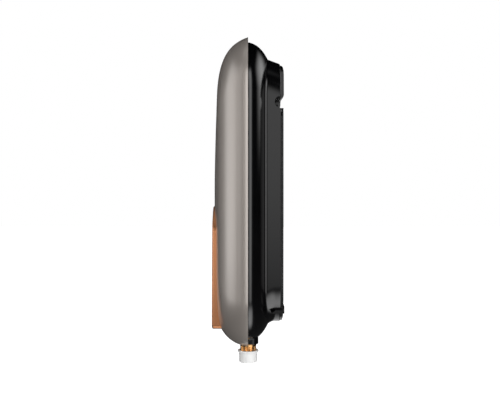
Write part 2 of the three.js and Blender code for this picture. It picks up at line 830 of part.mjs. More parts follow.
// Heating tank
const tankX = 12;
const tankWidth = 68;
const tankBackFromWall = 20;
const tankDepth = 34;
const tankBottomZ = -60;
const tankHeight = 180;
const tankWall = 3;
const tankCorner = 10;
const tankFlange = 4;
const tankFlangeHeight = 4;
const sealThickness = 1;
const lidThickness = 8;
const tankBackY = -tankBackFromWall;
const tankY = tankBackY - tankDepth * half;
const tankTopZ = tankBottomZ + tankHeight;
const lidBottomZ = tankTopZ + sealThickness;
const lidTopZ = lidBottomZ + lidThickness;
const pipeRadius = 7;
const pipeBore = 6;
const socketRadius = pipeRadius + gap;
const tankPortX = 26;
const portWall = 2.5;
const portLength = 12;
const lidPortX = -10;
const elementRadius = 3.5;
const elementDrop = 150;
const elementStand = 12;
const elementX = 6; // the left element stands here, beside the lid's port
const elementSpacing = 24;
const elementTurnSteps = 4;
const elementPlaces = [
  ["heating_element_left", elementX],
  ["heating_element_right", elementX + elementSpacing],
];
const elementRow = 8; // each leg lies this far from the tank's middle plane
const lidScrewInset = 5;

function planOutline(grow, corner) {
  const side = tankWidth * half + grow;
  const deep = tankDepth * half + grow;
  return roundedOutline(tankX - side, tankX + side, tankY - deep, tankY + deep, corner);
}

// An outline in X and Y, drawn up from a height.
function upright(outline, bottom, height) {
  const options = { depth: height, bevelEnabled: false, curveSegments: 2 };
  return solid(new THREE.ExtrudeGeometry(outline, options).translate(0, 0, bottom));
}

const lidScrewReach = tankWidth * half + tankFlange - lidScrewInset;
const lidScrewPlaces = [-1, 1].flatMap((side) => [
  [tankX + side * lidScrewReach, tankY - tankDepth * half + lidScrewInset],
  [tankX + side * lidScrewReach, tankY + tankDepth * half - lidScrewInset],
]);
const lidScrewRadius = 1.5;
const lidScrewHead = 2.8;
const lidScrewHeight = 2;
const lidScrewGrip = lidThickness + sealThickness + tankFlangeHeight - gap;

function lidScrewHoles() {
  const low = tankTopZ - tankFlangeHeight - overrun;
  return lidScrewPlaces.map(([x, y]) => rodZ(lidScrewRadius + gap, x, y, low, lidTopZ + overrun, 8));
}

function heatingTank() {
  const portEnd = tankBottomZ - portLength;
  const flangeZ = tankTopZ - tankFlangeHeight;
  const floorZ = tankBottomZ + tankWall;
  const outer = upright(planOutline(0, tankCorner), tankBottomZ, tankHeight);
  const flange = upright(planOutline(tankFlange, tankCorner), flangeZ, tankFlangeHeight);
  const inner = upright(planOutline(-tankWall, tankCorner - tankWall), floorZ, tankHeight + overrun);
  const port = rodZ(socketRadius + portWall, tankPortX, tankY, portEnd, floorZ - tankWall * half, 12);
  const bore = rodZ(socketRadius, tankPortX, tankY, portEnd - overrun, tankBottomZ, 12);
  const throat = rodZ(pipeBore, tankPortX, tankY, tankBottomZ - overrun, floorZ + overrun, 12);
  return cut(join(outer, flange, port), inner, bore, throat, ...lidScrewHoles());
}

function lidSeal() {
  const outer = upright(planOutline(tankFlange, tankCorner), tankTopZ, sealThickness);
  const room = planOutline(-tankWall, tankCorner - tankWall);
  const inner = upright(room, tankTopZ - overrun, sealThickness + 2 * overrun);
  return cut(outer, inner, ...lidScrewHoles());
}

function elementHoles() {
  return elementPlaces.flatMap(([, x]) =>
    [-elementRow, elementRow].map((y) =>
      rodZ(elementRadius + gap, x, tankY + y, lidBottomZ - overrun, lidTopZ + overrun, 8),
    ),
  );
}

function tankLid() {
  const plate = upright(planOutline(tankFlange, tankCorner), lidBottomZ, lidThickness);
  const portEnd = lidTopZ + portLength;
  const port = rodZ(socketRadius + portWall, lidPortX, tankY, lidTopZ - portWall, portEnd, 12);
  const bore = rodZ(socketRadius, lidPortX, tankY, lidTopZ, portEnd + overrun, 12);
  const throat = rodZ(pipeBore, lidPortX, tankY, lidBottomZ - overrun, lidTopZ + overrun, 12);
  return cut(join(plate, port), bore, throat, ...elementHoles(), ...lidScrewHoles());
}

// A heating rod bent into a hairpin, hanging from the lid.
function heatingElement(x) {
  const top = lidTopZ + elementStand;
  const low = lidBottomZ - elementDrop;
  const turnPoints = [];
  for (let i = 0; i <= elementTurnSteps; i += 1) {
    const angle = (i / elementTurnSteps) * Math.PI;
    turnPoints.push([x, tankY + elementRow * Math.cos(angle), low - elementRow * Math.sin(angle)]);
  }
  return join(
    rodZ(elementRadius, x, tankY - elementRow, low, top, 8),
    rodZ(elementRadius, x, tankY + elementRow, low, top, 8),
    tube(turnPoints, elementRadius, 0, 6, 4),
  );
}

// Threaded stubs, the yoke that holds them, and the caps that protect them in transport
const stubBore = 6.5;
const stubFlangeRadius = 13.5;
const stubFlangeHeight = 5;
const stubFlangeRise = 23.65; // the flange above the housing's lower edge
const stubFlangeZ = bodyBottom + stubFlangeRise;
const socketDepth = 12;
const yokeThickness = 2;
const yokeInset = 53; // from the side of the housing
const yokeSide = halfWidth - yokeInset;
const yokeDepth = 25;
const yokePostSide = 26;
const yokePostWidth = 9;
const stubTopZ = stubFlangeZ + stubFlangeHeight + socketDepth;

function pipeStub(x) {
  const flangeTop = stubFlangeZ + stubFlangeHeight;
  const spigot = socketRadius + portWall - gap;
  const profile = [
    [stubBore, stubEndZ],
    [threadRadius, stubEndZ],
    [threadRadius, stubFlangeZ],
    [stubFlangeRadius, stubFlangeZ],
    [stubFlangeRadius, flangeTop],
    [spigot, flangeTop],
    [spigot, stubTopZ],
    [socketRadius, stubTopZ],
    [socketRadius, flangeTop],
    [stubBore, flangeTop],
  ];
  return turned(profile, x, seamY, 16);
}

const yokeTopZ = stubFlangeZ;
const yokeBottomZ = yokeTopZ - yokeThickness;
const yokeScrewX = [-yokePostSide, yokePostSide];
const yokeScrewLength = 6;

function pipeYoke() {
  const deep = yokeDepth * half;
  const plate = blockBetween(-yokeSide, yokeSide, seamY - deep, seamY + deep, yokeBottomZ, yokeTopZ);
  const low = yokeBottomZ - overrun;
  const high = yokeTopZ + overrun;
  const holes = [-pipeX, pipeX].map((x) => rodZ(pipeHole, x, seamY, low, high, 16));
  const screws = yokeScrewX.map((x) => rodZ(screwHole, x, yokeScrewY, low, high, 8));
  return cut(plate, ...holes, ...screws);
}

const yokeScrewY = seamY + yokeDepth * half - yokePostWidth * half;

const capWall = 1.2;
const capBore = threadRadius + gap;
const capRadius = 11.7;
const capFlangeRadius = 13.4;
const capFlangeHeight = 2.2;
const capHeight = 15.4;
const capFloor = 1.6;
const capRound = 1.6;
const capRoundShare = 0.3; // middle point of the rounded edge
const stubInCap = 10.8;
const capTopZ = stubEndZ + stubInCap;
const capBottomZ = capTopZ - capHeight;

function transportCap(x) {
  const flangeZ = capTopZ - capFlangeHeight;
  const round = capRound * capRoundShare;
  const profile = [
    [0, capBottomZ],
    [capRadius - capRound, capBottomZ],
    [capRadius - round, capBottomZ + round],
    [capRadius, capBottomZ + capRound],
    [capRadius, flangeZ - capWall * half],
    [capFlangeRadius, flangeZ],
    [capFlangeRadius, capTopZ],
    [capBore, capTopZ],
    [capBore, capBottomZ + capFloor],
    [0, capBottomZ + capFloor],
  ];
  return turned(profile, x, seamY, 20);
}

// Inlet filter, a thimble in the cold stub
const filterRadius = stubBore - gap;
const filterWall = 0.8;
const filterLength = 16;
const filterHoleHeight = 3;
const filterRowShares = [0.3, 0.62]; // heights of the two rows of slots

function inletFilter() {
  const top = stubFlangeZ;
  const bottom = top - filterLength;
  const cup = turned(
    [
      [0, bottom],
      [filterRadius, bottom],
      [filterRadius, top],
      [filterRadius - filterWall, top],
      [filterRadius - filterWall, bottom + filterWall],
      [0, bottom + filterWall],
    ],
    pipeX,
    seamY,
    12,
  );
  const slots = filterRowShares.map((share) => {
    const z = bottom + filterLength * share;
    return rodX(filterHoleHeight * half, pipeX - pipeRadius, pipeX + pipeRadius, seamY, z, 6);
  });
  return cut(cup, ...slots);
}

// Flow sensor above the cold stub: a turbine in a clear housing with a magnetic pick-up
const sensorRadius = 12;
const sensorBottomZ = stubFlangeZ + stubFlangeHeight + gap;
const sensorLength = 52;
const sensorTopZ = sensorBottomZ + sensorLength;
const sensorBore = 8.4;
const turbineRadius = 7.6;
const turbineHeight = 12;
const turbineRise = 26; // middle of the turbine above the housing's lower end
const turbineZ = sensorBottomZ + turbineRise;
const hubRadius = 2.4;
const bladeCount = 6;
const bladeThickness = 1;
const bladeLean = 0.5;
const axleRadius = 1;
const spiderRadius = sensorBore - gap;
const spiderHeight = 2;
const spiderGap = 0.6;
const spokeCount = 3;
const spokeWidth = 1.6;

function flowSensorBody() {
  const socket = socketRadius + portWall + gap;
  const stubRoom = stubTopZ + gap;
  const profile = [
    [socket, sensorBottomZ],
    [sensorRadius, sensorBottomZ],
    [sensorRadius, sensorTopZ],
    [socketRadius, sensorTopZ],
    [socketRadius, sensorTopZ - socketDepth],
    [sensorBore, sensorTopZ - socketDepth],
    [sensorBore, stubRoom],
    [socket, stubRoom],
  ];
  return turned(profile, pipeX, seamY, 16);
}

function flowRotor() {
  const bottom = turbineZ - turbineHeight * half;
  const top = turbineZ + turbineHeight * half;
  const blades = [];
  for (let i = 0; i < bladeCount; i += 1) {
    const reach = turbineRadius - axleRadius - gap;
    const blade = new THREE.BoxGeometry(reach, bladeThickness, turbineHeight);
    blade.translate((turbineRadius + axleRadius + gap) * half, 0, 0);
    blade.rotateX(bladeLean);
    blade.rotateZ((i / bladeCount) * Math.PI * 2);
    blades.push(solid(blade.translate(pipeX, seamY, turbineZ)));
  }
  const body = join(rodZ(hubRadius, pipeX, seamY, bottom, top, 10), ...blades);
  const envelope = rodZ(turbineRadius, pipeX, seamY, bottom, top, 12);
  const bore = rodZ(axleRadius + gap, pipeX, seamY, bottom - overrun, top + overrun, 10);
  return cut(body.intersect(envelope), bore);
}

function rotorAxle() {
  const bottom = turbineZ - turbineHeight * half - spiderGap;
  const top = turbineZ + turbineHeight * half + spiderGap;
  const rise = spiderHeight * half;
  const spiders = [bottom - rise, top + rise].flatMap((z) => {
    const spokes = [rodZ(hubRadius, pipeX, seamY, z - rise, z + rise, 8)];
    for (let i = 0; i < spokeCount; i += 1) {
      const spoke = new THREE.BoxGeometry(spiderRadius, spokeWidth, spiderHeight);
      spoke.translate(spiderRadius * half, 0, 0);
      spoke.rotateZ((i / spokeCount) * Math.PI * 2);
      spokes.push(solid(spoke.translate(pipeX, seamY, z)));
    }
    return spokes;
  });
  return join(rodZ(axleRadius, pipeX, seamY, bottom - spiderHeight, top + spiderHeight, 8), ...spiders);
}

const pickupWidth = 9;
const pickupDepth = 5;
const pickupHeight = 14;

function hallSensor() {
  const back = seamY - sensorRadius - gap;
  return blockBetween(
    pipeX - pickupWidth * half,
    pipeX + pickupWidth * half,
    back - pickupDepth,
    back,
    turbineZ - pickupHeight * half,
    turbineZ + pickupHeight * half,
  );
}

// Pipes between the stubs and the tank
const coldBottomZ = sensorTopZ - socketDepth + gap;
const coldTopZ = tankBottomZ - gap;
const hotTopZ = lidTopZ + gap;
const hotBottomZ = stubFlangeZ + stubFlangeHeight + gap;
const coldBend = 14;
const hotBend = 36;

function coldPipe() {
  const path = [
    [pipeX, seamY, coldBottomZ],
    [pipeX, seamY, sensorTopZ],
    [tankPortX, tankY, tankBottomZ - portLength],
    [tankPortX, tankY, coldTopZ],
  ];
  return bentPipe(path, coldBend, pipeRadius, pipeBore, 10, 4);
}

function hotPipe() {
  const stand = lidTopZ + portLength;
  const path = [
    [lidPortX, tankY, hotTopZ],
    [lidPortX, tankY, stand],
    [-pipeX, seamY, stand],
    [-pipeX, seamY, tankTopZ],
  ];
  const bend = bentPipe(path, hotBend, pipeRadius, pipeBore, 11, 4);
  const straight = cut(
    rodZ(pipeRadius, -pipeX, seamY, hotBottomZ, tankTopZ, 8),
    rodZ(pipeBore, -pipeX, seamY, hotBottomZ - overrun, tankTopZ + overrun, 8),
  );
  return join(bend, straight);
}

// Safety cut-out on the lid, with its reset button, and the outlet temperature sensor
const cutoutX = 40;
const cutoutRadius = 8;
const cutoutHeight = 9;
const resetRadius = 2.4;
const resetStand = 3;
const resetTravel = 1.5;
const resetDepth = 6;
const probeX = 18;
const probeRadius = 3;
const probeStand = 12;
const earthRow = 11; // the earth stud lies this far behind the probe
const earthRadius = 3;
const earthStand = 5;

function thermalCutout() {
  const top = lidTopZ + cutoutHeight;
  const body = rodZ(cutoutRadius, cutoutX, tankY, lidTopZ, top, 16);
  return cut(body, rodZ(resetRadius + gap, cutoutX, tankY, top - resetDepth, top + overrun, 12));
}

function resetButton() {
  const low = lidTopZ + cutoutHeight - resetDepth + resetTravel + gap;
  return rodZ(resetRadius, cutoutX, tankY, low, lidTopZ + cutoutHeight + resetStand, 12);
}

function outletSensor() {
  const hex = rodZ(probeRadius + gap, 0, 0, 0, probeStand * half, 6);
  const tip = rodZ(probeRadius * half, 0, 0, 0, probeStand, 8);
  return join(hex, tip).translate([probeX, tankY, lidTopZ]);
}

function earthStud() {
  return rodZ(earthRadius, probeX, tankY + earthRow, lidTopZ, lidTopZ + earthStand, 6);
}

// Power board on a carrier that stands on the tank
const carrierX = 6;
const carrierWidth = 108;
const carrierBottomZ = 4;
const carrierTopZ = 108;
const carrierThickness = 2;
const carrierStand = 6;
const carrierRim = 1.6;
const legWidth = 8;
const legInset = 26;
const carrierBackY = tankBackY - tankDepth - carrierStand;
const carrierFrontY = carrierBackY - carrierThickness;
const powerBoardInset = 3;
const powerBoardBackY = carrierFrontY - gap;
const powerBoardFrontY = powerBoardBackY - boardThickness;

function boardCarrier() {
  const side = carrierWidth * half;
  const left = carrierX - side;
  const right = carrierX + side;
  const rimY = carrierFrontY - carrierRim;
  const tray = blockBetween(left, right, rimY, carrierBackY, carrierBottomZ, carrierTopZ);
  const room = blockBetween(
    left + carrierThickness,
    right - carrierThickness,
    rimY - overrun,
    carrierFrontY,
    carrierBottomZ + carrierThickness,
    carrierTopZ - carrierThickness,
  );
  const legLength = carrierStand + carrierThickness;
  const legY = carrierFrontY + legLength * half;
  const legs = [-1, 1].flatMap((mirror) =>
    [carrierBottomZ + legInset, carrierTopZ - legInset].map((z) =>
      block(legWidth, legLength, legWidth, tankX + mirror * legInset, legY, z),
    ),
  );
  return join(cut(tray, room), ...legs);
}

function powerBoard() {
  const side = carrierWidth * half - powerBoardInset;
  return blockBetween(
    carrierX - side,
    carrierX + side,
    powerBoardFrontY,
    powerBoardBackY,
    carrierBottomZ + powerBoardInset,
    carrierTopZ - powerBoardInset,
  );
}

// A component that stands on the front of the power board.
function onBoard(width, height, depth, x, z) {
  return block(width, depth, height, x, powerBoardFrontY - depth * half, z);
}

const relayWidth = 20;
const relayHeight = 28;
const relayDepth = 15;
const relayX = -28;
const relayZ = 80;
const sinkWidth = 46;
const sinkHeight = 34;
const sinkDepth = 14;
const sinkX = 28;
const sinkZ = 80;
const sinkBase = 3;
const finCount = 7;
const finThickness = 1.6;
const triacWidth = 10;
const triacHeight = 15;
const triacDepth = 4.5;
const triacDrop = 9;
const capacitorRadius = 6;
const capacitorLength = 14;
const capacitorX = -28;
const capacitorZ = 40;

function heatSink() {
  const base = onBoard(sinkWidth, sinkHeight, sinkBase, sinkX, sinkZ);
  const pitch = (sinkWidth - finThickness) / (finCount - 1);
  const fins = [];
  for (let i = 0; i < finCount; i += 1) {
    const x = sinkX - (sinkWidth - finThickness) * half + i * pitch;
    fins.push(onBoard(finThickness, sinkHeight, sinkDepth, x, sinkZ));
  }
  return join(base, ...fins);
}

function triac() {
  return onBoard(triacWidth, triacHeight, triacDepth, sinkX, sinkZ - sinkHeight * half - triacDrop);
}

function capacitor() {
  const front = powerBoardFrontY - capacitorLength;
  return rodY(capacitorRadius, capacitorX, front, powerBoardFrontY, capacitorZ, 14);
}

// Terminal block for the supply, on posts of the rear shell
const terminalZ = 162;
const terminalWidth = 46;
const terminalInset = 23; // from the side of the raised box
const terminalX = backWidth * half - terminalInset - terminalWidth * half;
const terminalHeight = 16;
const terminalDepth = 14;
const terminalStand = 6;
const terminalWays = 3;
const terminalBore = 3;
const terminalBackY = rearFloorY - terminalStand;
const postSide = 7;

function terminalBlock() {
  const middleY = terminalBackY - terminalDepth * half;
  const front = terminalBackY - terminalDepth;
  const body = block(terminalWidth, terminalDepth, terminalHeight, terminalX, middleY, terminalZ);
  const pitch = terminalWidth / terminalWays;
  const bores = [];
  for (let i = 0; i < terminalWays; i += 1) {
    const x = terminalX + (i + half - terminalWays * half) * pitch;
    bores.push(rodY(terminalBore, x, front - overrun, front + terminalDepth * half, terminalZ, 10));
  }
  return cut(body, ...bores);
}

// Posts of the rear shell that carry the tank, the terminal block and the yoke.
function rearPosts() {
  const root = rearFloorY + shellWall * half;
  const post = (x, front, z) => {
    const reach = postSide * half;
    return blockBetween(x - reach, x + reach, front, root, z - reach, z + reach);
  };
  const tankPosts = [-1, 1].flatMap((side) =>
    [tankBottomZ + legInset, tankTopZ - legInset].map((z) =>
      post(tankX + side * legInset, tankBackY, z),
    ),
  );
  const terminalPosts = [-1, 1].map((side) =>
    post(terminalX + side * (terminalWidth * half - postSide), terminalBackY, terminalZ),
  );
  const yokePosts = yokeScrewX.map((x) => {
    const reach = yokePostWidth * half;
    const front = yokeScrewY - reach;
    const back = yokeScrewY + reach;
    return blockBetween(x - reach, x + reach, front, back, bodyBottom, yokeBottomZ);
  });
  const middleOfWall = join(bowlBody(shellWall * half), backBody(shellWall * half));
  return join(...tankPosts, ...terminalPosts, ...yokePosts).intersect(middleOfWall);
}

function yokeBores() {
  const low = yokeBottomZ - yokeScrewLength;
  return yokeScrewX.map((x) => rodZ(screwHole, x, yokeScrewY, low, yokeBottomZ + overrun, 10));
}

// Copper bezel
function copperBezel() {
  const plate = frontPlate(bezelOutline(0), bezelBackY, bezelNeckDepth, bezelEdge);
  const seated = cut(plate, bezelSeat());
  const inside = bezelFrontY + bezelWall;
  const neckDepth = bezelNeckDepth - bezelWall;
  const neck = frontPlate(bezelOutline(bezelNeckInset), bezelBackY, neckDepth);
  const roomInset = bezelNeckInset + bezelWall;
  const room = frontPlate(bezelOutline(roomInset), bezelBackY + overrun, neckDepth + overrun);
  const glassRoom = glassOutline(gap, glassCorner);
  const rebate = frontPlate(glassRoom, bezelFrontY + glassThickness, glassThickness + overrun);
  const window = glassOutline(-glassSeat, glassCorner);
  const opening = frontPlate(window, bezelBackY, bezelNeckDepth + overrun);
  const posts = postPlaces.map(([x, z]) =>
    rodY(postRadius, x, inside - bezelWall * half, boardFrontY, z, 8),
  );
  const postBores = postPlaces.map(([x, z]) =>
    rodY(lidScrewRadius + gap, x, inside + overrun, 0, z, 6),
  );
  const keyHoles = keyPlaces.map(([, x]) =>
    rodY(keyRadius + gap, x, bezelFrontY - overrun, inside + overrun, keyZ, 12),
  );
  const hollow = cut(join(seated, neck), room);
  return cut(join(hollow, ...posts), rebate, opening, ...keyHoles, ...postBores);
}

// The space that the cover takes behind the bezel's edge.
function bezelSeat() {
  const depthGrow = 1 + gap / coverDepth;
  const fromRim = coverBody(0).translate([0, -coverBackY, 0]);
  return fromRim.scale([1, depthGrow, 1]).translate([0, coverBackY, 0]);
}

function glassOutline(grow, corner) {
  const side = glassSide + grow;
  return roundedOutline(-side, side, glassBottomZ - grow, glassTopZ + grow, corner);
}

function displayGlass() {
  return frontPlate(glassOutline(0, glassCorner), bezelFrontY + glassThickness, glassThickness);
}

const moduleInset = 3;

function displayModule() {
  const side = glassSide - glassSeat - moduleInset;
  return blockBetween(
    -side,
    side,
    bezelFrontY + glassThickness + gap,
    boardFrontY,
    glassBottomZ + glassSeat + moduleInset,
    glassTopZ - glassSeat - moduleInset,
  );
}

function displayBoard() {
  const front = boardFrontY;
  const board = blockBetween(-boardSide, boardSide, front, boardBackY, boardBottomZ, boardTopZ);
  const switches = keyPlaces.map(([, x]) =>
    block(switchWidth, switchHeight, switchWidth, x, front - switchHeight * half + gap, keyZ),
  );
  const holes = postPlaces.map(([x, z]) =>
    rodY(lidScrewRadius + gap, x, front - overrun, boardBackY + overrun, z, 6),
  );
  return cut(join(board, ...switches), ...holes);
}

function key(x) {
  const frontFace = bezelFrontY - keyProud;
  const flangeFront = bezelFrontY + bezelWall + gap;
  const flangeBack = flangeFront + keyFlangeHeight;
  const switchTop = boardFrontY - switchHeight + gap;
  const stemEnd = switchTop - keyTravel - gap;
  const edge = keyProud;
  const profile = [
    [0, -frontFace],
    [keyRadius - edge, -frontFace],
    [keyRadius, -frontFace - edge],
    [keyRadius, -flangeFront],
    [keyRadius + keyFlange, -flangeFront],
    [keyRadius + keyFlange, -flangeBack],
    [keyStemRadius, -flangeBack],
    [keyStemRadius, -stemEnd],
    [0, -stemEnd],
  ];
  return turnedAlong(profile, towardsFront, x, 0, keyZ, 12);
}

// Inner wires: from the terminal block to the power board and the tank, from the flow sensor to the
// board, and a ribbon between the two boards
const wireRadius = 1.6;
const wireSide = 6; // how far a wire swings out to pass the lid's fittings
const ribbonWidth = 12;
const ribbonThickness = 0.8;
const ribbonOverlap = 14;
const ribbonSteps = 8;
const ribbonStartShare = 0.3; // where the ribbon leaves the display board, down from its top
const ribbonBendShares = [0.6, 0.4];
const leadCrossShare = 0.7; // how far a supply lead has crossed over when it clears the lid
const leadFrontShare = 0.4;
const leadDropShare = 0.45;
const wireY = powerBoardFrontY - wireRadius - gap;
const wireEndZ = carrierTopZ - powerBoardInset - wireSide;
const terminalY = terminalBackY - terminalDepth * half;
const terminalPitch = terminalWidth / terminalWays;
const terminalUnderZ = terminalZ - terminalHeight * half - gap;
const liveEndX = sinkX + sinkWidth * half - wireSide;
const neutralEndX = sinkX - sinkWidth * half + wireSide;

function wire(points) {
  return tube(points, wireRadius, 0, 10, 4);
}

// From one way of the terminal block over the lid and down to the board.
function supplyLead(startX, endX) {
  const clearZ = lidTopZ + elementStand + wireSide;
  return wire([
    [startX, terminalY, terminalUnderZ],
    [startX, terminalY, terminalUnderZ - wireRadius],
    [startX, mix(terminalY, tankY, half), clearZ + wireRadius],
    [mix(startX, endX, leadCrossShare), mix(tankY, wireY, leadFrontShare), clearZ],
    [endX, wireY + wireRadius, mix(clearZ, wireEndZ, leadDropShare)],
    [endX, wireY, wireEndZ + wireSide],
    [endX, wireY, wireEndZ],
  ]);
}

function earthLead() {
  const startX = terminalX - terminalPitch;
  const endZ = lidTopZ + earthStand + gap;
  return wire([
    [startX, terminalY, terminalUnderZ],
    [startX, terminalY, terminalUnderZ - 2 * wireRadius],
    [probeX, tankY + earthRow, endZ + 2 * wireRadius],
    [probeX, tankY + earthRow, endZ],
  ]);
}

function sensorLead() {
  const startZ = turbineZ + pickupHeight * half + gap;
  const endX = pipeX - wireSide;
  const startY = seamY - sensorRadius - gap - pickupDepth * half;
  const endZ = carrierBottomZ + powerBoardInset + wireSide;
  return wire([
    [pipeX, startY, startZ],
    [pipeX, startY - wireRadius, startZ + 2 * wireSide],
    [pipeX + wireSide, mix(startY, wireY, half), mix(startZ, endZ, half)],
    [endX, wireY, endZ - wireSide],
    [endX, wireY, endZ],
  ]);
}

// A flat ribbon from the back of the display board to the front of the power board.
function displayRibbon() {
  const startY = boardBackY + gap + ribbonThickness;
  const endY = powerBoardFrontY - gap;
  const startZ = mix(boardTopZ, boardBottomZ, ribbonStartShare);
  const endZ = carrierBottomZ + powerBoardInset + ribbonOverlap;
  const [leaveZ, arriveZ] = ribbonBendShares.map((share) => mix(startZ, endZ, share));
  const front = [];
  const back = [];
  for (let i = 0; i <= ribbonSteps; i += 1) {
    const t = i / ribbonSteps;
    const y = cubic([startY, startY, endY, endY], t);
    const z = cubic([startZ + ribbonOverlap, leaveZ, arriveZ, endZ - ribbonOverlap], t);
    front.push([y - ribbonThickness, z]);
    back.unshift([y, z]);
  }
  front.unshift([startY - ribbonThickness, startZ]);
  front.push([endY - ribbonThickness, endZ], [endY, endZ]);
  const profile = [...front, ...back, [startY, startZ]];
  return sidePlate(profile, -ribbonWidth * half, ribbonWidth * half);
}

const root = new THREE.Group();
const heater = new THREE.Group();
root.add(heater);

function add(parent, name, body, material) {
  const mesh = body.getMesh();
  const geometry = new THREE.BufferGeometry();
  geometry.setAttribute("position", new THREE.BufferAttribute(mesh.vertProperties, 3));
  geometry.setIndex(new THREE.BufferAttribute(mesh.triVerts, 1));
  geometry.computeVertexNormals();
  const piece = new THREE.Mesh(geometry, material);
  piece.name = name;
  parent.add(piece);
}

add(root, "wall_bracket", wallBracket(), blackSteel);
add(heater, "front_cover", frontCover(), champagne);
add(heater, "rear_shell", rearShell(), glossBlack);
add(heater, "seam_gasket", seamGasket(), rubber);
add(heater, "copper_bezel", copperBezel(), copper);
add(heater, "display_glass", displayGlass(), darkGlass);
add(heater, "display_module", displayModule(), greyPlastic);
add(heater, "display_board", displayBoard(), boardGreen);
for (const [name, x] of keyPlaces) add(heater, name, key(x), copper);
screwPlaces.forEach(([x, z], i) => {
  const profile = screw(shankRadius, shankLength, headRadius, headHeight);
  const body = turnedAlong(profile, towardsWall, x, rearFrontY + wellFloor, z, 8);
  add(heater, `cover_screw_${i + 1}`, body, steel);
});
add(heater, "cable_grommet", cableGrommet(), rubber);
add(heater, "heating_tank", heatingTank(), steel);
add(heater, "lid_seal", lidSeal(), rubber);
add(heater, "tank_lid", tankLid(), steel);
lidScrewPlaces.forEach(([x, y], i) => {
  const profile = screw(lidScrewRadius, lidScrewGrip, lidScrewHead, lidScrewHeight);
  const body = turnedAlong(profile, upwards, x, y, lidTopZ, 6);
  add(heater, `lid_screw_${i + 1}`, body, steel);
});
for (const [name, x] of elementPlaces) add(heater, name, heatingElement(x), copperPipe);
add(heater, "outlet_stub", pipeStub(-pipeX), brass);
add(heater, "inlet_stub", pipeStub(pipeX), brass);
add(heater, "pipe_yoke", pipeYoke(), steel);
add(heater, "outlet_cap", transportCap(-pipeX), whitePlastic);
add(heater, "inlet_cap", transportCap(pipeX), whitePlastic);
add(heater, "inlet_filter", inletFilter(), whitePlastic);
add(heater, "flow_sensor_body", flowSensorBody(), greyPlastic);
add(heater, "flow_rotor", flowRotor(), bluePlastic);
add(heater, "rotor_axle", rotorAxle(), steel);
add(heater, "hall_sensor", hallSensor(), rubber);
add(heater, "cold_pipe", coldPipe(), copperPipe);
add(heater, "hot_pipe", hotPipe(), copperPipe);
add(heater, "thermal_cutout", thermalCutout(), rubber);
add(heater, "reset_button", resetButton(), whitePlastic);
add(heater, "outlet_sensor", outletSensor(), brass);
add(heater, "board_carrier", boardCarrier(), greyPlastic);
add(heater, "power_board", powerBoard(), boardGreen);
add(heater, "power_relay", onBoard(relayWidth, relayHeight, relayDepth, relayX, relayZ), bluePlastic);
add(heater, "heat_sink", heatSink(), aluminium);
add(heater, "triac", triac(), rubber);
add(heater, "filter_capacitor", capacitor(), bluePlastic);
add(heater, "terminal_block", terminalBlock(), whitePlastic);
add(heater, "earth_stud", earthStud(), brass);
add(heater, "live_lead", supplyLead(terminalX + terminalPitch, liveEndX), liveBrown);
add(heater, "neutral_lead", supplyLead(terminalX, neutralEndX), neutralBlue);
add(heater, "earth_lead", earthLead(), earthGreen);
add(heater, "sensor_lead", sensorLead(), rubber);
add(heater, "display_ribbon", displayRibbon(), greyPlastic);
yokeScrewX.forEach((x, i) => {
  const grip = yokeScrewLength + yokeThickness - gap;
  const profile = screw(shankRadius, grip, headRadius, headHeight);
  const body = turnedAlong(profile, upwards, x, yokeScrewY, yokeTopZ, 6);
  add(heater, `yoke_screw_${i + 1}`, body, steel);
});
postPlaces.forEach(([x, z], i) => {
  const length = boardThickness + displayPostLength;
  const profile = screw(lidScrewRadius, length, lidScrewHead, lidScrewHeight);
  const body = turnedAlong(profile, towardsWall, x, boardBackY, z, 6);
  add(heater, `display_screw_${i + 1}`, body, steel);
});

export default root;
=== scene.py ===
import json
import math

import bmesh
import bpy
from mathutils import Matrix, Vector

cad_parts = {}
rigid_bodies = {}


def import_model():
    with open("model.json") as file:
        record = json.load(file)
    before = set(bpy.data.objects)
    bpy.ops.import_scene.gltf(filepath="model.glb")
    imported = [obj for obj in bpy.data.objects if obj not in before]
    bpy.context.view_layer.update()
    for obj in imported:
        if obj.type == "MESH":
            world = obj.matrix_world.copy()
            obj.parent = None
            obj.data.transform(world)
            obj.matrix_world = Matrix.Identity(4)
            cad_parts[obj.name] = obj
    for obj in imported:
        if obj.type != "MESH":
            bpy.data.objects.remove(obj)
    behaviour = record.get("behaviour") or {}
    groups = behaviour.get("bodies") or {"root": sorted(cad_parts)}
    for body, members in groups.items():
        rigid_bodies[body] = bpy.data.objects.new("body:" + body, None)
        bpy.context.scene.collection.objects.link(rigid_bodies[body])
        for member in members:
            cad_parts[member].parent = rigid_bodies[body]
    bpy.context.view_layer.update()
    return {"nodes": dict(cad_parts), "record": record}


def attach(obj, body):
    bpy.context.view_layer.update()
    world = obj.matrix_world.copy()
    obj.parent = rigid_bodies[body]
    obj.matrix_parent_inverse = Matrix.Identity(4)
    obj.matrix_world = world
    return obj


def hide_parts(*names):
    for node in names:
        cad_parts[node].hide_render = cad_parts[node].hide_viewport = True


for old in list(bpy.data.objects):
    bpy.data.objects.remove(old)
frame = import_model()
nodes = frame["nodes"]


# ---- measures in millimetres, in the frame of the CAD model: X to the right, the wall at Y 0, Z up ----

MM = 0.001
HALF_WIDTH = 114.0
BODY_TOP = 218.95
BODY_BOTTOM = -179.65
BODY_MIDDLE = (BODY_TOP + BODY_BOTTOM) / 2
CORNER_TOP = 72.0
CORNER_BOTTOM = 67.0
CORNER_SHARE = CORNER_TOP / HALF_WIDTH
WALL = 2.5
SEAM_Y = -46.0
PAST_FRONT_Y = -96  # cuts from the front start here

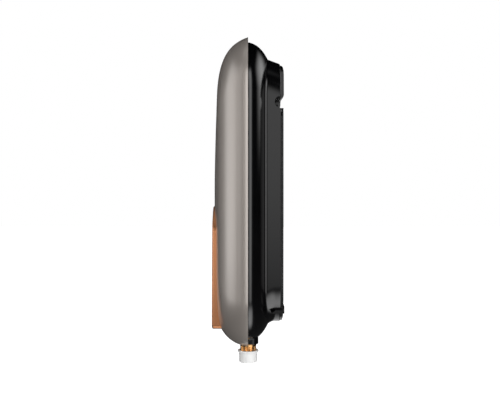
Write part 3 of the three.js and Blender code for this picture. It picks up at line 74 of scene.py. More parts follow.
COVER_BACK_Y = -46.1
COVER_DEPTH = 45.2
RIM_WIDTH = 9.0
SHOULDER_DEPTH = 0.912  # where the cover's shoulder ends, as a share of its depth
TOP_SHOULDER = 66.7
SIDE_SHOULDER = HALF_WIDTH * 0.632
BOTTOM_SHOULDER = 35.7
TOP_CROWN = 203.5
SIDE_CROWN = HALF_WIDTH * 0.93
BOTTOM_CROWN = 120

REAR_FRONT_Y = -45.5
REAR_BACK_Y = -4.8
REAR_INSET = 6  # the bowl's rim stands this far inside the cover's
BOWL_DEPTH = 30
BOWL_TOP = 27.2  # how far the bowl closes in from its rim to its floor
BOWL_SIDE = 59.96
BOWL_BOTTOM = 27.7
BOX_HALF_WIDTH = 80
BOX_TOP = BODY_TOP - 25.3
BOX_BOTTOM = BODY_BOTTOM + 29.5
BOX_CORNER = 52
BOX_EDGE = 1.1
BOX_LEAST_EDGE = 0.3
BOX_START = 18  # depths are counted from the seam
BOX_SLOPE = 0.37
BOX_SLOPE_DEPTH = 25
FLARE_DEPTH = 20.5
SIDE_FLARE = (1.4, 4)  # size and run
BOTTOM_FLARE = (9, 14)
PAD_ROOT_Y = -6.05  # pads start inside the raised box
UPPER_PAD_HALF_WIDTH = 62
LOWER_PAD_HALF_WIDTH = 58
RAIL_WIDTH = 12
RECESS_HALF_WIDTH = 11
RECESS_DEPTH = 7.2
RECESS_BELOW = 15  # room under a hook's arm, to lift the heater off by 12
RECESS_ABOVE = 13.3
BAR_HALF_WIDTH = 12.25
BAR_END_WIDTH = 3.85
FOOT_BOTTOM = -133.8
FOOT_END_Y = -0.3
GROOVE_Z = 131.5
GROOVE_RADIUS = 7.8
ENTRY_X = -38
ENTRY_Z = 160
ENTRY_RADIUS = 9
ENTRY_SEAT_RADIUS = 11.8
SCREWS = [(x, z) for x in (-66, 66) for z in (100, -66)]
SCREW_SEAT_Y = -41.9
SCREW_BORE_RADIUS = 4.2
SCREW_HOLE_RADIUS = 2
WELL_RADIUS = 6.5
WELL_LENGTH = 39.4

PIPE_X = 50.0
PIPE_HOLE = 10.78
COLLAR_RADIUS = 13.2
COLLAR_END = BODY_BOTTOM + 4.5
COLLAR_TOP = BODY_BOTTOM + 16
COLLAR_FULLNESS = 2.5  # 2 is a circle, and more is squarer
COLLAR_GAP = 0.02
COLLAR_DIFFERENCE = 0.3  # the cover's half is this much slimmer than the rear's
THREAD_RADIUS = 10.48
THREAD_PITCH = 1.814
THREAD_DEPTH = 0.75
THREAD_FADE = 1.2
THREAD_TOP = -178.0
STUB_END = BODY_BOTTOM - 15.1
STUB_FLANGE = (-156, -151)
STUB_TOP = -139
STUB_FLANGE_RADIUS = 13.5
STUB_BORE_RADIUS = 6.5
SOCKET_RADIUS = 9.5
SOCKET_BORE_RADIUS = 7.3
CAP_TOP = STUB_END + 10.8
CAP_HEIGHT = 15.4
CAP_RADIUS = 11.7
CAP_BORE_RADIUS = 10.78
CAP_FLOOR = 1.6
CAP_FLANGE_RADIUS = 13.4
CAP_FLANGE_HEIGHT = 2.2

BEZEL_FRONT_Y = -93.3
BEZEL_BACK_Y = -79
BEZEL_BOTTOM = -159
BEZEL_TOP = 1
BEZEL_HALF_WIDTH = 45
BEZEL_SHOULDER_Z = -32
BEZEL_SHOULDER_HALF_WIDTH = 37
BEZEL_FOOT_CORNER = 6
BEZEL_EDGE = 2.2
BEZEL_ROOM_INSET = 6.5
BEZEL_ROOM_Y = -90.8
WINDOW_INSET = 3.7  # the cover's opening stands this far inside the bezel's outline
GLASS = (-29, 29, -108, -44)  # left, right, bottom, top
GLASS_THICKNESS = 2
GLASS_CORNER = 6
GLASS_PLAY = 0.3
GLASS_LEDGE = 2.5
KEYS = [("minus_button", -21), ("power_button", 0), ("plus_button", 21)]
KEY_Z = -131
KEY_RADIUS = 6.2
KEY_HOLE_RADIUS = 6.5
KEY_FLANGE_RADIUS = 7.4
KEY_STEM_RADIUS = 1.6
KEY_FRONT_Y = BEZEL_FRONT_Y - 0.4

SHEET = 1.6
BRACKET_HALF_WIDTH = 44
BRACKET_HALF_HEIGHT = 128.5
FLANGE_HALF_HEIGHT = 118.5
FLANGE_Y = -3.1
HOOKS = [(-36, 127.7), (36, 127.7), (0, -104)]  # x, and the height of the middle of its arm
HOOK_REACH = 9.7
HOOK_RISE = 9.4
HOOK_HALF_WIDTH = 7
SLOTS = [(x, z) for x in (-28, 28) for z in (-96, 96)]
SLOT_RADIUS = 3
SLOT_SHIFT = 6  # from a slot's middle to the middle of its round end


# ---- shapes ----

def mix(a, b, share):
    return a + (b - a) * share


def cubic(values, t):
    """A Bezier curve's value, from its four control values."""
    a, b, c, d = values
    s = 1 - t
    return s * s * s * a + 3 * s * s * t * b + 3 * s * t * t * c + t * t * t * d


def arc(a, b, radius, start, end, steps):
    """Points round (a, b), from one angle to another in degrees."""
    angles = [math.radians(mix(start, end, i / steps)) for i in range(steps + 1)]
    return [(a + radius * math.cos(angle), b + radius * math.sin(angle)) for angle in angles]


def rounded(x1, x2, z1, z2, radius, steps=10):
    """A rounded rectangle as a list of points."""
    points = []
    for quarter, (x, z) in enumerate([(x2 - radius, z2 - radius), (x1 + radius, z2 - radius),
                                      (x1 + radius, z1 + radius), (x2 - radius, z1 + radius)]):
        points += arc(x, z, radius, 90 * quarter, 90 * quarter + 90, steps)
    return points


def ring(side, top, bottom, corner_width, corner_rise, corner_drop, y, steps=18, spans=8):
    """A rectangle in X and Z with quarter ellipses as corners, and points along its straight runs too."""
    corners = [
        (side - corner_width, top - corner_rise, corner_rise),
        (corner_width - side, top - corner_rise, corner_rise),
        (corner_width - side, bottom + corner_drop, corner_drop),
        (side - corner_width, bottom + corner_drop, corner_drop),
    ]
    turns = []
    for quarter, (x, z, reach) in enumerate(corners):
        turn = []
        for i in range(steps + 1):
            angle = (quarter + i / steps) * math.pi / 2
            turn.append((x + corner_width * math.cos(angle), y, z + reach * math.sin(angle)))
        turns.append(turn)
    points = []
    for quarter, turn in enumerate(turns):
        points += turn
        start, end = turn[-1], turns[(quarter + 1) % 4][0]
        for i in range(1, spans):
            points.append(tuple(mix(start[k], end[k], i / spans) for k in range(3)))
    return points


def make(name, points, faces):
    """A mesh object from points in millimetres, its faces turned outward."""
    mesh = bpy.data.meshes.new(name)
    mesh.from_pydata([(x * MM, y * MM, z * MM) for x, y, z in points], [], faces)
    body = bmesh.new()
    body.from_mesh(mesh)
    bmesh.ops.remove_doubles(body, verts=body.verts, dist=1e-7)
    bmesh.ops.recalc_face_normals(body, faces=body.faces)
    body.to_mesh(mesh)
    body.free()
    piece = bpy.data.objects.new(name, mesh)
    bpy.context.scene.collection.objects.link(piece)
    return piece


def band(first, second, count):
    """Faces between two rings of points that start at the given indices."""
    faces = []
    for i in range(count):
        j = (i + 1) % count
        faces.append((first + i, first + j, second + j, second + i))
    return faces


def loft(name, rings):
    """A closed skin over rings with the same number of points, ended by a flat at each end."""
    count = len(rings[0])
    points = [point for one in rings for point in one]
    last = (len(rings) - 1) * count
    faces = []
    for start in range(0, last, count):
        faces += band(start, start + count, count)
    faces.append(tuple(range(count)))
    faces.append(tuple(last + i for i in reversed(range(count))))
    return make(name, points, faces)


def lathe(name, profile, x, y, z, along="z", steps=64):
    """A turned piece: profile is a closed list of (radius, height) about an axis through (x, y, z)."""
    def at(a, b, height):
        return {"z": (x + a, y + b, z + height), "y": (x + a, y + height, z + b),
                "x": (x + height, y + a, z + b)}[along]

    points, faces = [], []
    count = len(profile)
    for i in range(steps):
        angle = 2 * math.pi * i / steps
        c, s = math.cos(angle), math.sin(angle)
        points += [at(radius * c, radius * s, height) for radius, height in profile]
    for i in range(steps):
        j = (i + 1) % steps
        for k in range(count):
            m = (k + 1) % count
            if profile[k][0] > 0 or profile[m][0] > 0:
                faces.append((i * count + k, i * count + m, j * count + m, j * count + k))
    return make(name, points, faces)


def rod(name, radius, x, y, z, length, along="z", steps=48):
    """A round bar that starts at (x, y, z)."""
    return lathe(name, [(0, 0), (radius, 0), (radius, length), (0, length)], x, y, z, along, steps)


def prism(name, outline, low, high, along="y"):
    """A flat outline drawn out along an axis: (x, z) along Y, or (y, z) along X, or (x, y) along Z."""
    def at(a, b, h):
        return {"y": (a, h, b), "x": (h, a, b), "z": (a, b, h)}[along]

    count = len(outline)
    points = [at(a, b, low) for a, b in outline] + [at(a, b, high) for a, b in outline]
    faces = [tuple(range(count)), tuple(reversed(range(count, 2 * count)))]
    return make(name, points, faces + band(0, count, count))


def box(name, x1, x2, y1, y2, z1, z2):
    return prism(name, [(x1, z1), (x2, z1), (x2, z2), (x1, z2)], y1, y2)


def discard(piece):
    mesh = piece.data
    bpy.data.objects.remove(piece)
    bpy.data.meshes.remove(mesh)


def bake(piece):
    """Writes a piece's modifiers into its mesh."""
    graph = bpy.context.evaluated_depsgraph_get()
    graph.update()
    fresh = bpy.data.meshes.new_from_object(piece.evaluated_get(graph), depsgraph=graph)
    piece.modifiers.clear()
    old = piece.data
    piece.data = fresh
    bpy.data.meshes.remove(old)
    piece.data.name = piece.name


def combine(piece, tools, operation="DIFFERENCE"):
    """Cuts the tools from a piece, or joins them to it, and takes the tools away."""
    for tool in tools:
        change = piece.modifiers.new("combine", "BOOLEAN")
        change.operation = operation
        change.solver = "MANIFOLD"
        change.object = tool
        bake(piece)
        discard(tool)
    return piece


def soften(piece, angle, edge=0.0, segments=3, weighted=True):
    """Smooth faces with sharp edges kept, and a fine rounding on the edges where one is asked for."""
    for face in piece.data.polygons:
        face.use_smooth = True
    if edge > 0:
        bevel = piece.modifiers.new("edge", "BEVEL")
        bevel.width = edge * MM
        bevel.segments = segments
        bevel.limit_method = "ANGLE"
        bevel.angle_limit = math.radians(angle)
        bevel.use_clamp_overlap = True
        bevel.harden_normals = False
    else:
        piece.data.set_sharp_from_angle(angle=math.radians(angle))
    if weighted:
        normal = piece.modifiers.new("normal", "WEIGHTED_NORMAL")
        normal.keep_sharp = True
        normal.weight = 60
    return piece


def pipe_bores():
    return [rod("bore", PIPE_HOLE, x, SEAM_Y, -190, 30) for x in (-PIPE_X, PIPE_X)]


def half_collar(name, x, radius, towards_front, steps=48):
    """Half of the sleeve round a pipe, where a shell closes on it: nearly round outside, round inside."""
    start, end = (math.pi, 2 * math.pi) if towards_front else (0, math.pi)
    outline = []
    for reach, fullness, first, last in (
            (radius, COLLAR_FULLNESS, start, end), (PIPE_HOLE, 2, end, start)):
        for i in range(steps + 1):
            angle = mix(first, last, i / steps)
            c, s = math.cos(angle), math.sin(angle)
            y = SEAM_Y + math.copysign(reach * abs(s) ** (2 / fullness), s)
            y = min(y, COVER_BACK_Y - COLLAR_GAP) if towards_front else max(y, COVER_BACK_Y + COLLAR_GAP)
            outline.append((x + math.copysign(reach * abs(c) ** (2 / fullness), c), y))
    return soften(prism(name, outline, COLLAR_END, COLLAR_TOP, "z"), 40, 0.25)


def both_collars(name, radius, towards_front):
    return [half_collar(name + label, x, radius, towards_front)
            for label, x in (("left", -PIPE_X), ("right", PIPE_X))]


# ---- front cover: a pebble-shaped shell with a window for the bezel ----

def cover_ring(depth_share, top_inset, side_inset, bottom_inset, wall):
    rim = RIM_WIDTH if wall > 0 else 0
    side = HALF_WIDTH - max(side_inset + wall, rim)
    top = BODY_TOP - max(top_inset + wall, rim)
    bottom = BODY_BOTTOM + max(bottom_inset + wall, rim)
    blend = depth_share ** 4
    return ring(
        side, top, bottom, side * CORNER_SHARE,
        mix(CORNER_TOP - (BODY_TOP - top), (top - BODY_MIDDLE) * 0.5, blend),
        mix(CORNER_BOTTOM - (bottom - BODY_BOTTOM), (BODY_MIDDLE - bottom) * 0.5, blend),
        COVER_BACK_Y - depth_share * (COVER_DEPTH - wall))


def cover_rings(wall, shoulder, crown):
    """Rings from the seam over the shoulder to the crown, the number of steps on each given."""
    rings = []
    for i in range(shoulder + 1):
        t = i / shoulder
        rings.append(cover_ring(
            cubic((0, 0.395, 0.854, SHOULDER_DEPTH), t),
            TOP_SHOULDER * cubic((0, 0.09, 0.226, 1), t),
            SIDE_SHOULDER * cubic((0, 0.0625, 0.53, 1), t),
            BOTTOM_SHOULDER * cubic((0, 0, 0.34, 1), t), wall))
    for i in range(1, crown + 1):
        t = i / crown
        rings.append(cover_ring(
            cubic((SHOULDER_DEPTH, 0.932, 1, 1), t),
            mix(TOP_SHOULDER, TOP_CROWN, cubic((0, 0.13, 0.67, 1), t)),
            mix(SIDE_SHOULDER, SIDE_CROWN, cubic((0, 0.34, 0.7, 1), t)),
            mix(BOTTOM_SHOULDER, BOTTOM_CROWN, cubic((0, 0.1, 0.67, 1), t)), wall))
    return rings


def bezel_outline(inset, steps=14):
    """The bezel's outline: an upright shield, drawn in from its edge by an inset."""
    top, bottom = BEZEL_TOP - inset, BEZEL_BOTTOM + inset
    side, shoulder = BEZEL_HALF_WIDTH - inset, BEZEL_SHOULDER_HALF_WIDTH - inset
    shoulder_z, corner = BEZEL_SHOULDER_Z, BEZEL_FOOT_CORNER
    flank = mix(bottom, shoulder_z, 0.55)
    eave, roof = mix(shoulder_z, top, 0.35), mix(shoulder_z, top, 0.72)

    def curve(*corners):
        points = []
        for i in range(1, steps + 1):
            row, t = list(corners), i / steps
            while len(row) > 1:
                row = [tuple(mix(a[k], b[k], t) for k in (0, 1)) for a, b in zip(row, row[1:])]
            points.append(row[0])
        return points

    right = [(side - corner, bottom)]
    right += curve(right[-1], (side, bottom), (side, bottom + corner))
    right += curve(right[-1], (side, flank), (shoulder, shoulder_z - corner), (shoulder, shoulder_z))
    right += curve(right[-1], (shoulder * 0.92, eave), (shoulder * 0.5, roof))
    right += curve(right[-1], (shoulder * 0.2, top), (0, top))
    return right + [(-x, z) for x, z in reversed(right[:-1])]


cover = loft("cover_shell", list(reversed(cover_rings(WALL, 16, 6))) + cover_rings(0, 44, 14))
combine(cover, [prism("window", bezel_outline(WINDOW_INSET), PAST_FRONT_Y, -70)] + pipe_bores())
soften(cover, 40)
cover_collars = both_collars("cover_collar_", COLLAR_RADIUS - COLLAR_DIFFERENCE, True)


# ---- rear shell: a shallow bowl, a raised box with recesses for the hooks, two pads and two feet ----

def bowl_rings(wall, levels):
    rings = []
    for i in range(levels + 1):
        t = i / levels
        top = REAR_INSET + wall + BOWL_TOP * cubic((0, 0.075, 0.245, 1), t)
        side = REAR_INSET + wall + BOWL_SIDE * cubic((0, 0.042, 0.233, 1), t)
        bottom = REAR_INSET + wall + BOWL_BOTTOM * cubic((0, 0.067, 0.212, 1), t)
        rings.append(ring(
            HALF_WIDTH - side, BODY_TOP - top, BODY_BOTTOM + bottom, (HALF_WIDTH - side) * CORNER_SHARE,
            CORNER_TOP - top, CORNER_BOTTOM - bottom,
            REAR_FRONT_Y + cubic((0, 0.333, 0.667, 1), t) * (BOWL_DEPTH - wall)))
    return rings


def flare(depth, size, run):
    """How far the raised box widens towards the bowl."""
    left = min(1, max(0, 1 - (depth - FLARE_DEPTH) / run))
    return size * left * left


def box_ring(depth, wall, trim):
    corner = BOX_CORNER - wall - trim
    return ring(
        BOX_HALF_WIDTH + flare(depth, *SIDE_FLARE) - wall - trim,
        BOX_TOP - (depth - BOX_SLOPE_DEPTH) * BOX_SLOPE - wall - trim,
        BOX_BOTTOM - flare(depth, *BOTTOM_FLARE) + wall + trim,
        corner, corner, corner, SEAM_Y + depth)


def raised_box(wall, levels, edge_steps):
    """The box on the bowl's back, its rear edge rounded over."""
    end = REAR_BACK_Y - SEAM_Y - wall
    edge = max(BOX_EDGE - wall, BOX_LEAST_EDGE)
    rings = [box_ring(mix(BOX_START, end - edge, i / levels), wall, 0) for i in range(levels + 1)]
    for trim, depth in arc(edge, end - edge, edge, 180, 90, edge_steps)[1:]:
        rings.append(box_ring(depth, wall, trim))
    return loft("raised_box", rings)


def hook_recess(x, arm, grow):
    """The room round a hook, larger by grow where the wall round it is wanted too."""
    reach = RECESS_HALF_WIDTH + grow
    return box("recess", x - reach, x + reach, REAR_BACK_Y - RECESS_DEPTH - grow, 2,
               arm - RECESS_BELOW - grow, arm + RECESS_ABOVE + grow)


def hook_bars(x, arm):
    """The bar that hangs behind a hook's lip, and the two blocks that it ends in."""
    reach = BAR_HALF_WIDTH
    bars = [box("bar", x - reach, x + reach, -7.7, REAR_BACK_Y, arm + 1.1, arm + 8.6)]
    for left, right in ((reach - BAR_END_WIDTH, reach), (-reach, BAR_END_WIDTH - reach)):
        bars.append(box("bar_end", x + left, x + right, -10.4, REAR_BACK_Y, arm + 4.6, arm + 8.1))
    return bars


def foot(side):
    """A foot that rests against the wall, its top sloping out from the raised box."""
    bottom, end_y, lip_top, lip_y = FOOT_BOTTOM, FOOT_END_Y, -124.8, -2.6
    rings = []
    for x, top in ((52, -127.3), (71, -127.3), (73, -129.8)):
        lip = min(lip_top, top + 3.6)
        rings.append([(side * x, y, z) for y, z in [
            (end_y, bottom), (end_y, lip), (lip_y, lip), (lip_y, top), (-11.6, top), (-16.3, bottom)]])
    return loft("foot", rings)


def groove(radius, steps):
    return rod("groove", radius, -90, REAR_BACK_Y, GROOVE_Z, 180, "x", steps)


def cable_entry():
    return rod("entry", ENTRY_RADIUS, ENTRY_X, -12, ENTRY_Z, 14, "y")


def keep_inside(piece, half_width, bottom, top, corner):
    combine(piece, [prism("keep", rounded(-half_width, half_width, bottom, top, corner, 24), -50, 10)],
            "INTERSECT")


pad = prism("pad", [
    (PAD_ROOT_Y, 136.6), (-4.4, 136.8), (-0.4, 142.6), (-0.55, 168), (-0.8, 175), (-1.4, 180),
    (-2.2, 182.6), (-4.2, 185), (PAD_ROOT_Y, 186)], -UPPER_PAD_HALF_WIDTH, UPPER_PAD_HALF_WIDTH, "x")
keep_inside(pad, 77.6, -BRACKET_HALF_HEIGHT, BODY_TOP - 33.3, 49.6)
combine(pad, [cable_entry(), rod("seat", ENTRY_SEAT_RADIUS, ENTRY_X, -1.8, ENTRY_Z, 3, "y"),
              prism("relief", rounded(-42, 42, 120, 147, 4), -5.5, 3)])
soften(pad, 25, 0.5)

lower_pad = prism("lower_pad", [
    (PAD_ROOT_Y, -146.5), (-3.2, -146.5), (-2.2, -132), (PAD_ROOT_Y, -129.4)],
    -LOWER_PAD_HALF_WIDTH, LOWER_PAD_HALF_WIDTH, "x")
rail_section = [(PAD_ROOT_Y, -146.5), (-2.6, -146.5), (-1.3, -138), (-1.3, -110.5), (-4.8, -107),
                (PAD_ROOT_Y, -107)]
combine(lower_pad, [prism("rail", rail_section, x, x + RAIL_WIDTH, "x")
                    for x in (-LOWER_PAD_HALF_WIDTH, LOWER_PAD_HALF_WIDTH - RAIL_WIDTH)], "UNION")
keep_inside(lower_pad, 79.7, BODY_BOTTOM + 29.8, GROOVE_Z, 51.7)
soften(lower_pad, 25, 0.4)

rear = loft("rear_casing", bowl_rings(0, 64))
combine(rear, [raised_box(0, 40, 8), foot(1), foot(-1)], "UNION")
room = loft("room", bowl_rings(WALL, 12))
combine(room, [raised_box(WALL, 4, 1)], "UNION")
combine(room, [groove(GROOVE_RADIUS + WALL, 48)] + [hook_recess(x, arm, WALL) for x, arm in HOOKS])
combine(rear, [room, groove(GROOVE_RADIUS, 96)] + [hook_recess(x, arm, 0) for x, arm in HOOKS]
        + [cable_entry()])
wells = [rod("well", WELL_RADIUS, x, REAR_FRONT_Y, z, WELL_LENGTH, "y") for x, z in SCREWS]
combine(rear, [bar for x, arm in HOOKS for bar in hook_bars(x, arm)] + wells, "UNION")
combine(rear, [rod("bore", SCREW_BORE_RADIUS, x, SCREW_SEAT_Y, z, 44, "y") for x, z in SCREWS]
        + [rod("hole", SCREW_HOLE_RADIUS, x, -48, z, 50, "y") for x, z in SCREWS] + pipe_bores())
soften(rear, 30)
rear_collars = both_collars("rear_collar_", COLLAR_RADIUS, False)


# ---- copper bezel with its glass and keys ----

bezel_rings = [[(x, BEZEL_BACK_Y, z) for x, z in bezel_outline(0)],
               [(x, BEZEL_FRONT_Y + BEZEL_EDGE, z) for x, z in bezel_outline(0)]]
for inset, y in arc(BEZEL_EDGE, BEZEL_FRONT_Y + BEZEL_EDGE, BEZEL_EDGE, 180, 270, 8)[1:]:
    bezel_rings.append([(x, y, z) for x, z in bezel_outline(inset)])
bezel = loft("bezel_face", bezel_rings)


def glass_cut(name, grow, corner, end_y):
    """A cut from the front, wider than the glass by grow on each side."""
    left, right, bottom, top = GLASS
    outline = rounded(left - grow, right + grow, bottom - grow, top + grow, corner)
    return prism(name, outline, PAST_FRONT_Y, end_y)


past_back_y = BEZEL_BACK_Y + 2
combine(bezel, [prism("room", bezel_outline(BEZEL_ROOM_INSET), BEZEL_ROOM_Y, past_back_y),
                glass_cut("rebate", GLASS_PLAY, GLASS_CORNER + GLASS_PLAY, BEZEL_FRONT_Y + GLASS_THICKNESS),
                glass_cut("opening", -GLASS_LEDGE, GLASS_CORNER, past_back_y)]
        + [rod("hole", KEY_HOLE_RADIUS, x, PAST_FRONT_Y, KEY_Z, 12, "y", 64) for _, x in KEYS])
soften(bezel, 30)

glass = prism("display_window", rounded(*GLASS, GLASS_CORNER, 16),
              BEZEL_FRONT_Y + GLASS_THICKNESS, BEZEL_FRONT_Y)
soften(glass, 30, 0.4)


def key_cap(name, x):
    """A round key with a dished face and a rounded rim."""
    dish_radius, dish_depth, edge = 5.0, 0.35, 0.6
    flange_front, flange_back, stem_end = -90.5, -89.5, -87.0
    profile = [(dish_radius * i / 10, KEY_FRONT_Y + dish_depth * math.cos(i / 10 * math.pi / 2))
               for i in range(11)]
    profile += arc(KEY_RADIUS - edge, KEY_FRONT_Y + edge, edge, -90, 0, 6)
    profile += [
        (KEY_RADIUS, flange_front), (KEY_FLANGE_RADIUS, flange_front), (KEY_FLANGE_RADIUS, flange_back),
        (KEY_STEM_RADIUS, flange_back), (KEY_STEM_RADIUS, stem_end), (0, stem_end)]
    return soften(lathe(name, profile, x, 0, KEY_Z, "y", 64), 35)


def key_mark(name, x):
    """The raised mark on a key: a bar, a cross, or a bar in an open ring."""
    back, front = KEY_FRONT_Y + 0.6, KEY_FRONT_Y + 0.05

    def bar(half_width, low, high):
        outline = rounded(x - half_width, x + half_width, KEY_Z + low, KEY_Z + high, 0.3, 4)
        return prism(name, outline, front, back)

    reach, half_stroke = 1.9, 0.35
    if name.startswith("minus"):
        return soften(bar(reach, -half_stroke, half_stroke), 30)
    if name.startswith("plus"):
        level, upright = bar(reach, -half_stroke, half_stroke), bar(half_stroke, -reach, reach)
        return soften(combine(level, [upright], "UNION"), 30)
    outline = arc(x, KEY_Z, 2.1, 130, 410, 32) + arc(x, KEY_Z, 1.5, 410, 130, 32)
    return soften(combine(prism(name, outline, front, back), [bar(0.3, 0.4, 2.4)], "UNION"), 30)


# ---- wall bracket: one bent sheet with two flanges, three hooks and four slots ----

def wall_slot(x, z):
    outline = arc(x, z + SLOT_SHIFT, SLOT_RADIUS, 0, 180, 16)
    outline += arc(x, z - SLOT_SHIFT, SLOT_RADIUS, 180, 360, 16)
    return prism("slot", outline, -6, 3)


def hook_strip(x, arm):
    """A hook folded from the sheet, its bend rounded inside and outside."""
    over, under = arm + SHEET / 2, arm - SHEET / 2
    inner = 0.8
    outer = SHEET + inner
    front, lip_back, lip_top, edge = -HOOK_REACH, -HOOK_REACH + SHEET, over + HOOK_RISE, 0.4
    outline = [(0, over)]
    outline += arc(lip_back + inner, over + inner, inner, 270, 180, 6)
    outline += [(lip_back, lip_top - edge), (lip_back - edge, lip_top)]
    outline += [(front + edge, lip_top), (front, lip_top - edge)]
    outline += arc(front + outer, under + outer, outer, 180, 270, 8)
    outline += [(0, under)]
    return prism("hook", outline, x - HOOK_HALF_WIDTH, x + HOOK_HALF_WIDTH, "x")


bracket_outline = rounded(-BRACKET_HALF_WIDTH, BRACKET_HALF_WIDTH,
                          -BRACKET_HALF_HEIGHT, BRACKET_HALF_HEIGHT, 10, 14)
bracket = prism("hanging_bracket", bracket_outline, -SHEET, 0)
combine(bracket, [box("flange", x, x + SHEET, FLANGE_Y, -0.2, -FLANGE_HALF_HEIGHT, FLANGE_HALF_HEIGHT)
                  for x in (-BRACKET_HALF_WIDTH, BRACKET_HALF_WIDTH - SHEET)]
        + [hook_strip(x, arm) for x, arm in HOOKS], "UNION")
combine(bracket, [wall_slot(x, z) for x, z in SLOTS])
soften(bracket, 30, 0.2, 2)


# ---- pipe stubs with cut threads, and their transport caps ----

def threaded_stub(name, x, steps=72, rows_per_turn=14):
    """A pipe stub: a helical thread from its open end up into the shell, then a flange and a socket."""
    low, high = STUB_END, THREAD_TOP
    rows = int((high - low) / THREAD_PITCH * rows_per_turn)
    rings = []
    for row in range(rows + 1):
        z = mix(low, high, row / rows)
        fade = max(0, min(1, (z - low) / THREAD_FADE, (high - z) / THREAD_FADE))
        one = []
        for i in range(steps):
            tooth = 0.5 - 0.5 * math.cos(2 * math.pi * ((z - low) / THREAD_PITCH - i / steps))
            one.append((THREAD_RADIUS - THREAD_DEPTH * fade * tooth, z))
        rings.append(one)
    flange_bottom, flange_top = STUB_FLANGE
    chamfer = 0.6
    for radius, z in [
            (THREAD_RADIUS, flange_bottom), (STUB_FLANGE_RADIUS, flange_bottom),
            (STUB_FLANGE_RADIUS, flange_top), (SOCKET_RADIUS, flange_top), (SOCKET_RADIUS, STUB_TOP),
            (SOCKET_BORE_RADIUS, STUB_TOP), (SOCKET_BORE_RADIUS, flange_top), (STUB_BORE_RADIUS, flange_top),
            (STUB_BORE_RADIUS, low + chamfer), (STUB_BORE_RADIUS + chamfer, low)]:
        rings.append([(radius, z)] * steps)
    points, faces = [], []
    for k, one in enumerate(rings):
        for i, (radius, z) in enumerate(one):
            angle = 2 * math.pi * i / steps
            points.append((x + radius * math.cos(angle), SEAM_Y + radius * math.sin(angle), z))
        faces += band(k * steps, (k + 1) % len(rings) * steps, steps)
    return soften(make(name, points, faces), 50, weighted=False)


def transport_cap(name, x):
    """A moulded push-on cap with a flange at its mouth and a rounded end."""
    flange, bottom, turn = CAP_TOP - CAP_FLANGE_HEIGHT, CAP_TOP - CAP_HEIGHT, 1.9
    edge = 0.5
    profile = [(0, bottom + 0.5), (3.0, bottom + 0.5), (3.4, bottom)]
    profile += arc(CAP_RADIUS - turn, bottom + turn, turn, -90, 0, 8)
    profile += [(CAP_RADIUS, flange - 0.6), (11.95, flange - 0.15), (12.4, flange)]
    profile += arc(CAP_FLANGE_RADIUS - edge, flange + edge, edge, -90, 0, 4)
    profile += arc(CAP_FLANGE_RADIUS - edge, CAP_TOP - edge, edge, 0, 90, 4)
    profile += [(11.0, CAP_TOP), (CAP_BORE_RADIUS, CAP_TOP - 0.3),
                (CAP_BORE_RADIUS, bottom + CAP_FLOOR), (0, bottom + CAP_FLOOR)]
    return soften(lathe(name, profile, x, SEAM_Y, 0, "z", 96), 40)


stubs = [threaded_stub("outlet_thread", -PIPE_X), threaded_stub("inlet_thread", PIPE_X)]
caps = [transport_cap("outlet_dust_cap", -PIPE_X), transport_cap("inlet_dust_cap", PIPE_X)]


# ---- cable grommet and the screws in the back ----

grommet = lathe("entry_grommet", [
    (5.4, -0.6), (5.9, -0.62), (10.6, -0.75), (11.1, -0.95), (11.4, -1.35), (11.4, -1.8), (8.7, -1.8),
    (8.7, -7.3), (11.4, -7.3), (11.4, -8.5), (5.4, -8.5), (5.0, -8.1), (5.0, -1.0)],
    ENTRY_X, 0, ENTRY_Z, "y")
soften(grommet, 40)


def cross_screw(name, x, z):
    """A pan-head screw, seen from behind, with a cross recess."""
    seat, head, shank, length = SCREW_SEAT_Y, 3.5, 1.7, 13
    profile = [(0, seat + 2.4), (1.6, seat + 2.36), (2.6, seat + 2.1), (3.2, seat + 1.5), (head, seat + 0.7),
               (head, seat), (shank, seat), (shank, seat - length), (0, seat - length)]
    body = lathe(name, profile, x, 0, z, "y", 40)
    combine(body, [box("cross", x - across, x + across, seat + 1.0, seat + 4, z - up, z + up)
                   for across, up in ((1.7, 0.35), (0.35, 1.7))])
    return soften(body, 35)


screws = [cross_screw("casing_screw_%d" % (i + 1), x, z) for i, (x, z) in enumerate(SCREWS)]


# ---- helpers for shader nodes ----

def math_node(tree, operation, *values):
    node = tree.nodes.new("ShaderNodeMath")
    node.operation = operation
    for socket, value in zip(node.inputs, values):
        if isinstance(value, (int, float)):
            socket.default_value = value
        else:
            tree.links.new(value, socket)
    return node.outputs[0]


def map_node(tree, value, from_min, from_max, to_min=0.0, to_max=1.0, smooth=False):
    node = tree.nodes.new("ShaderNodeMapRange")
    if smooth:
        node.interpolation_type = "SMOOTHSTEP"
    limits = {"From Min": from_min, "From Max": from_max, "To Min": to_min, "To Max": to_max}
    for label, number in limits.items():
        node.inputs[label].default_value = number
    tree.links.new(value, node.inputs["Value"])
    return node.outputs["Result"]


# ---- materials: every finish varies over its surface ----

NOISE_RANGE = (0.3, 0.7)  # the part of the noise over which a finish goes from dark to light


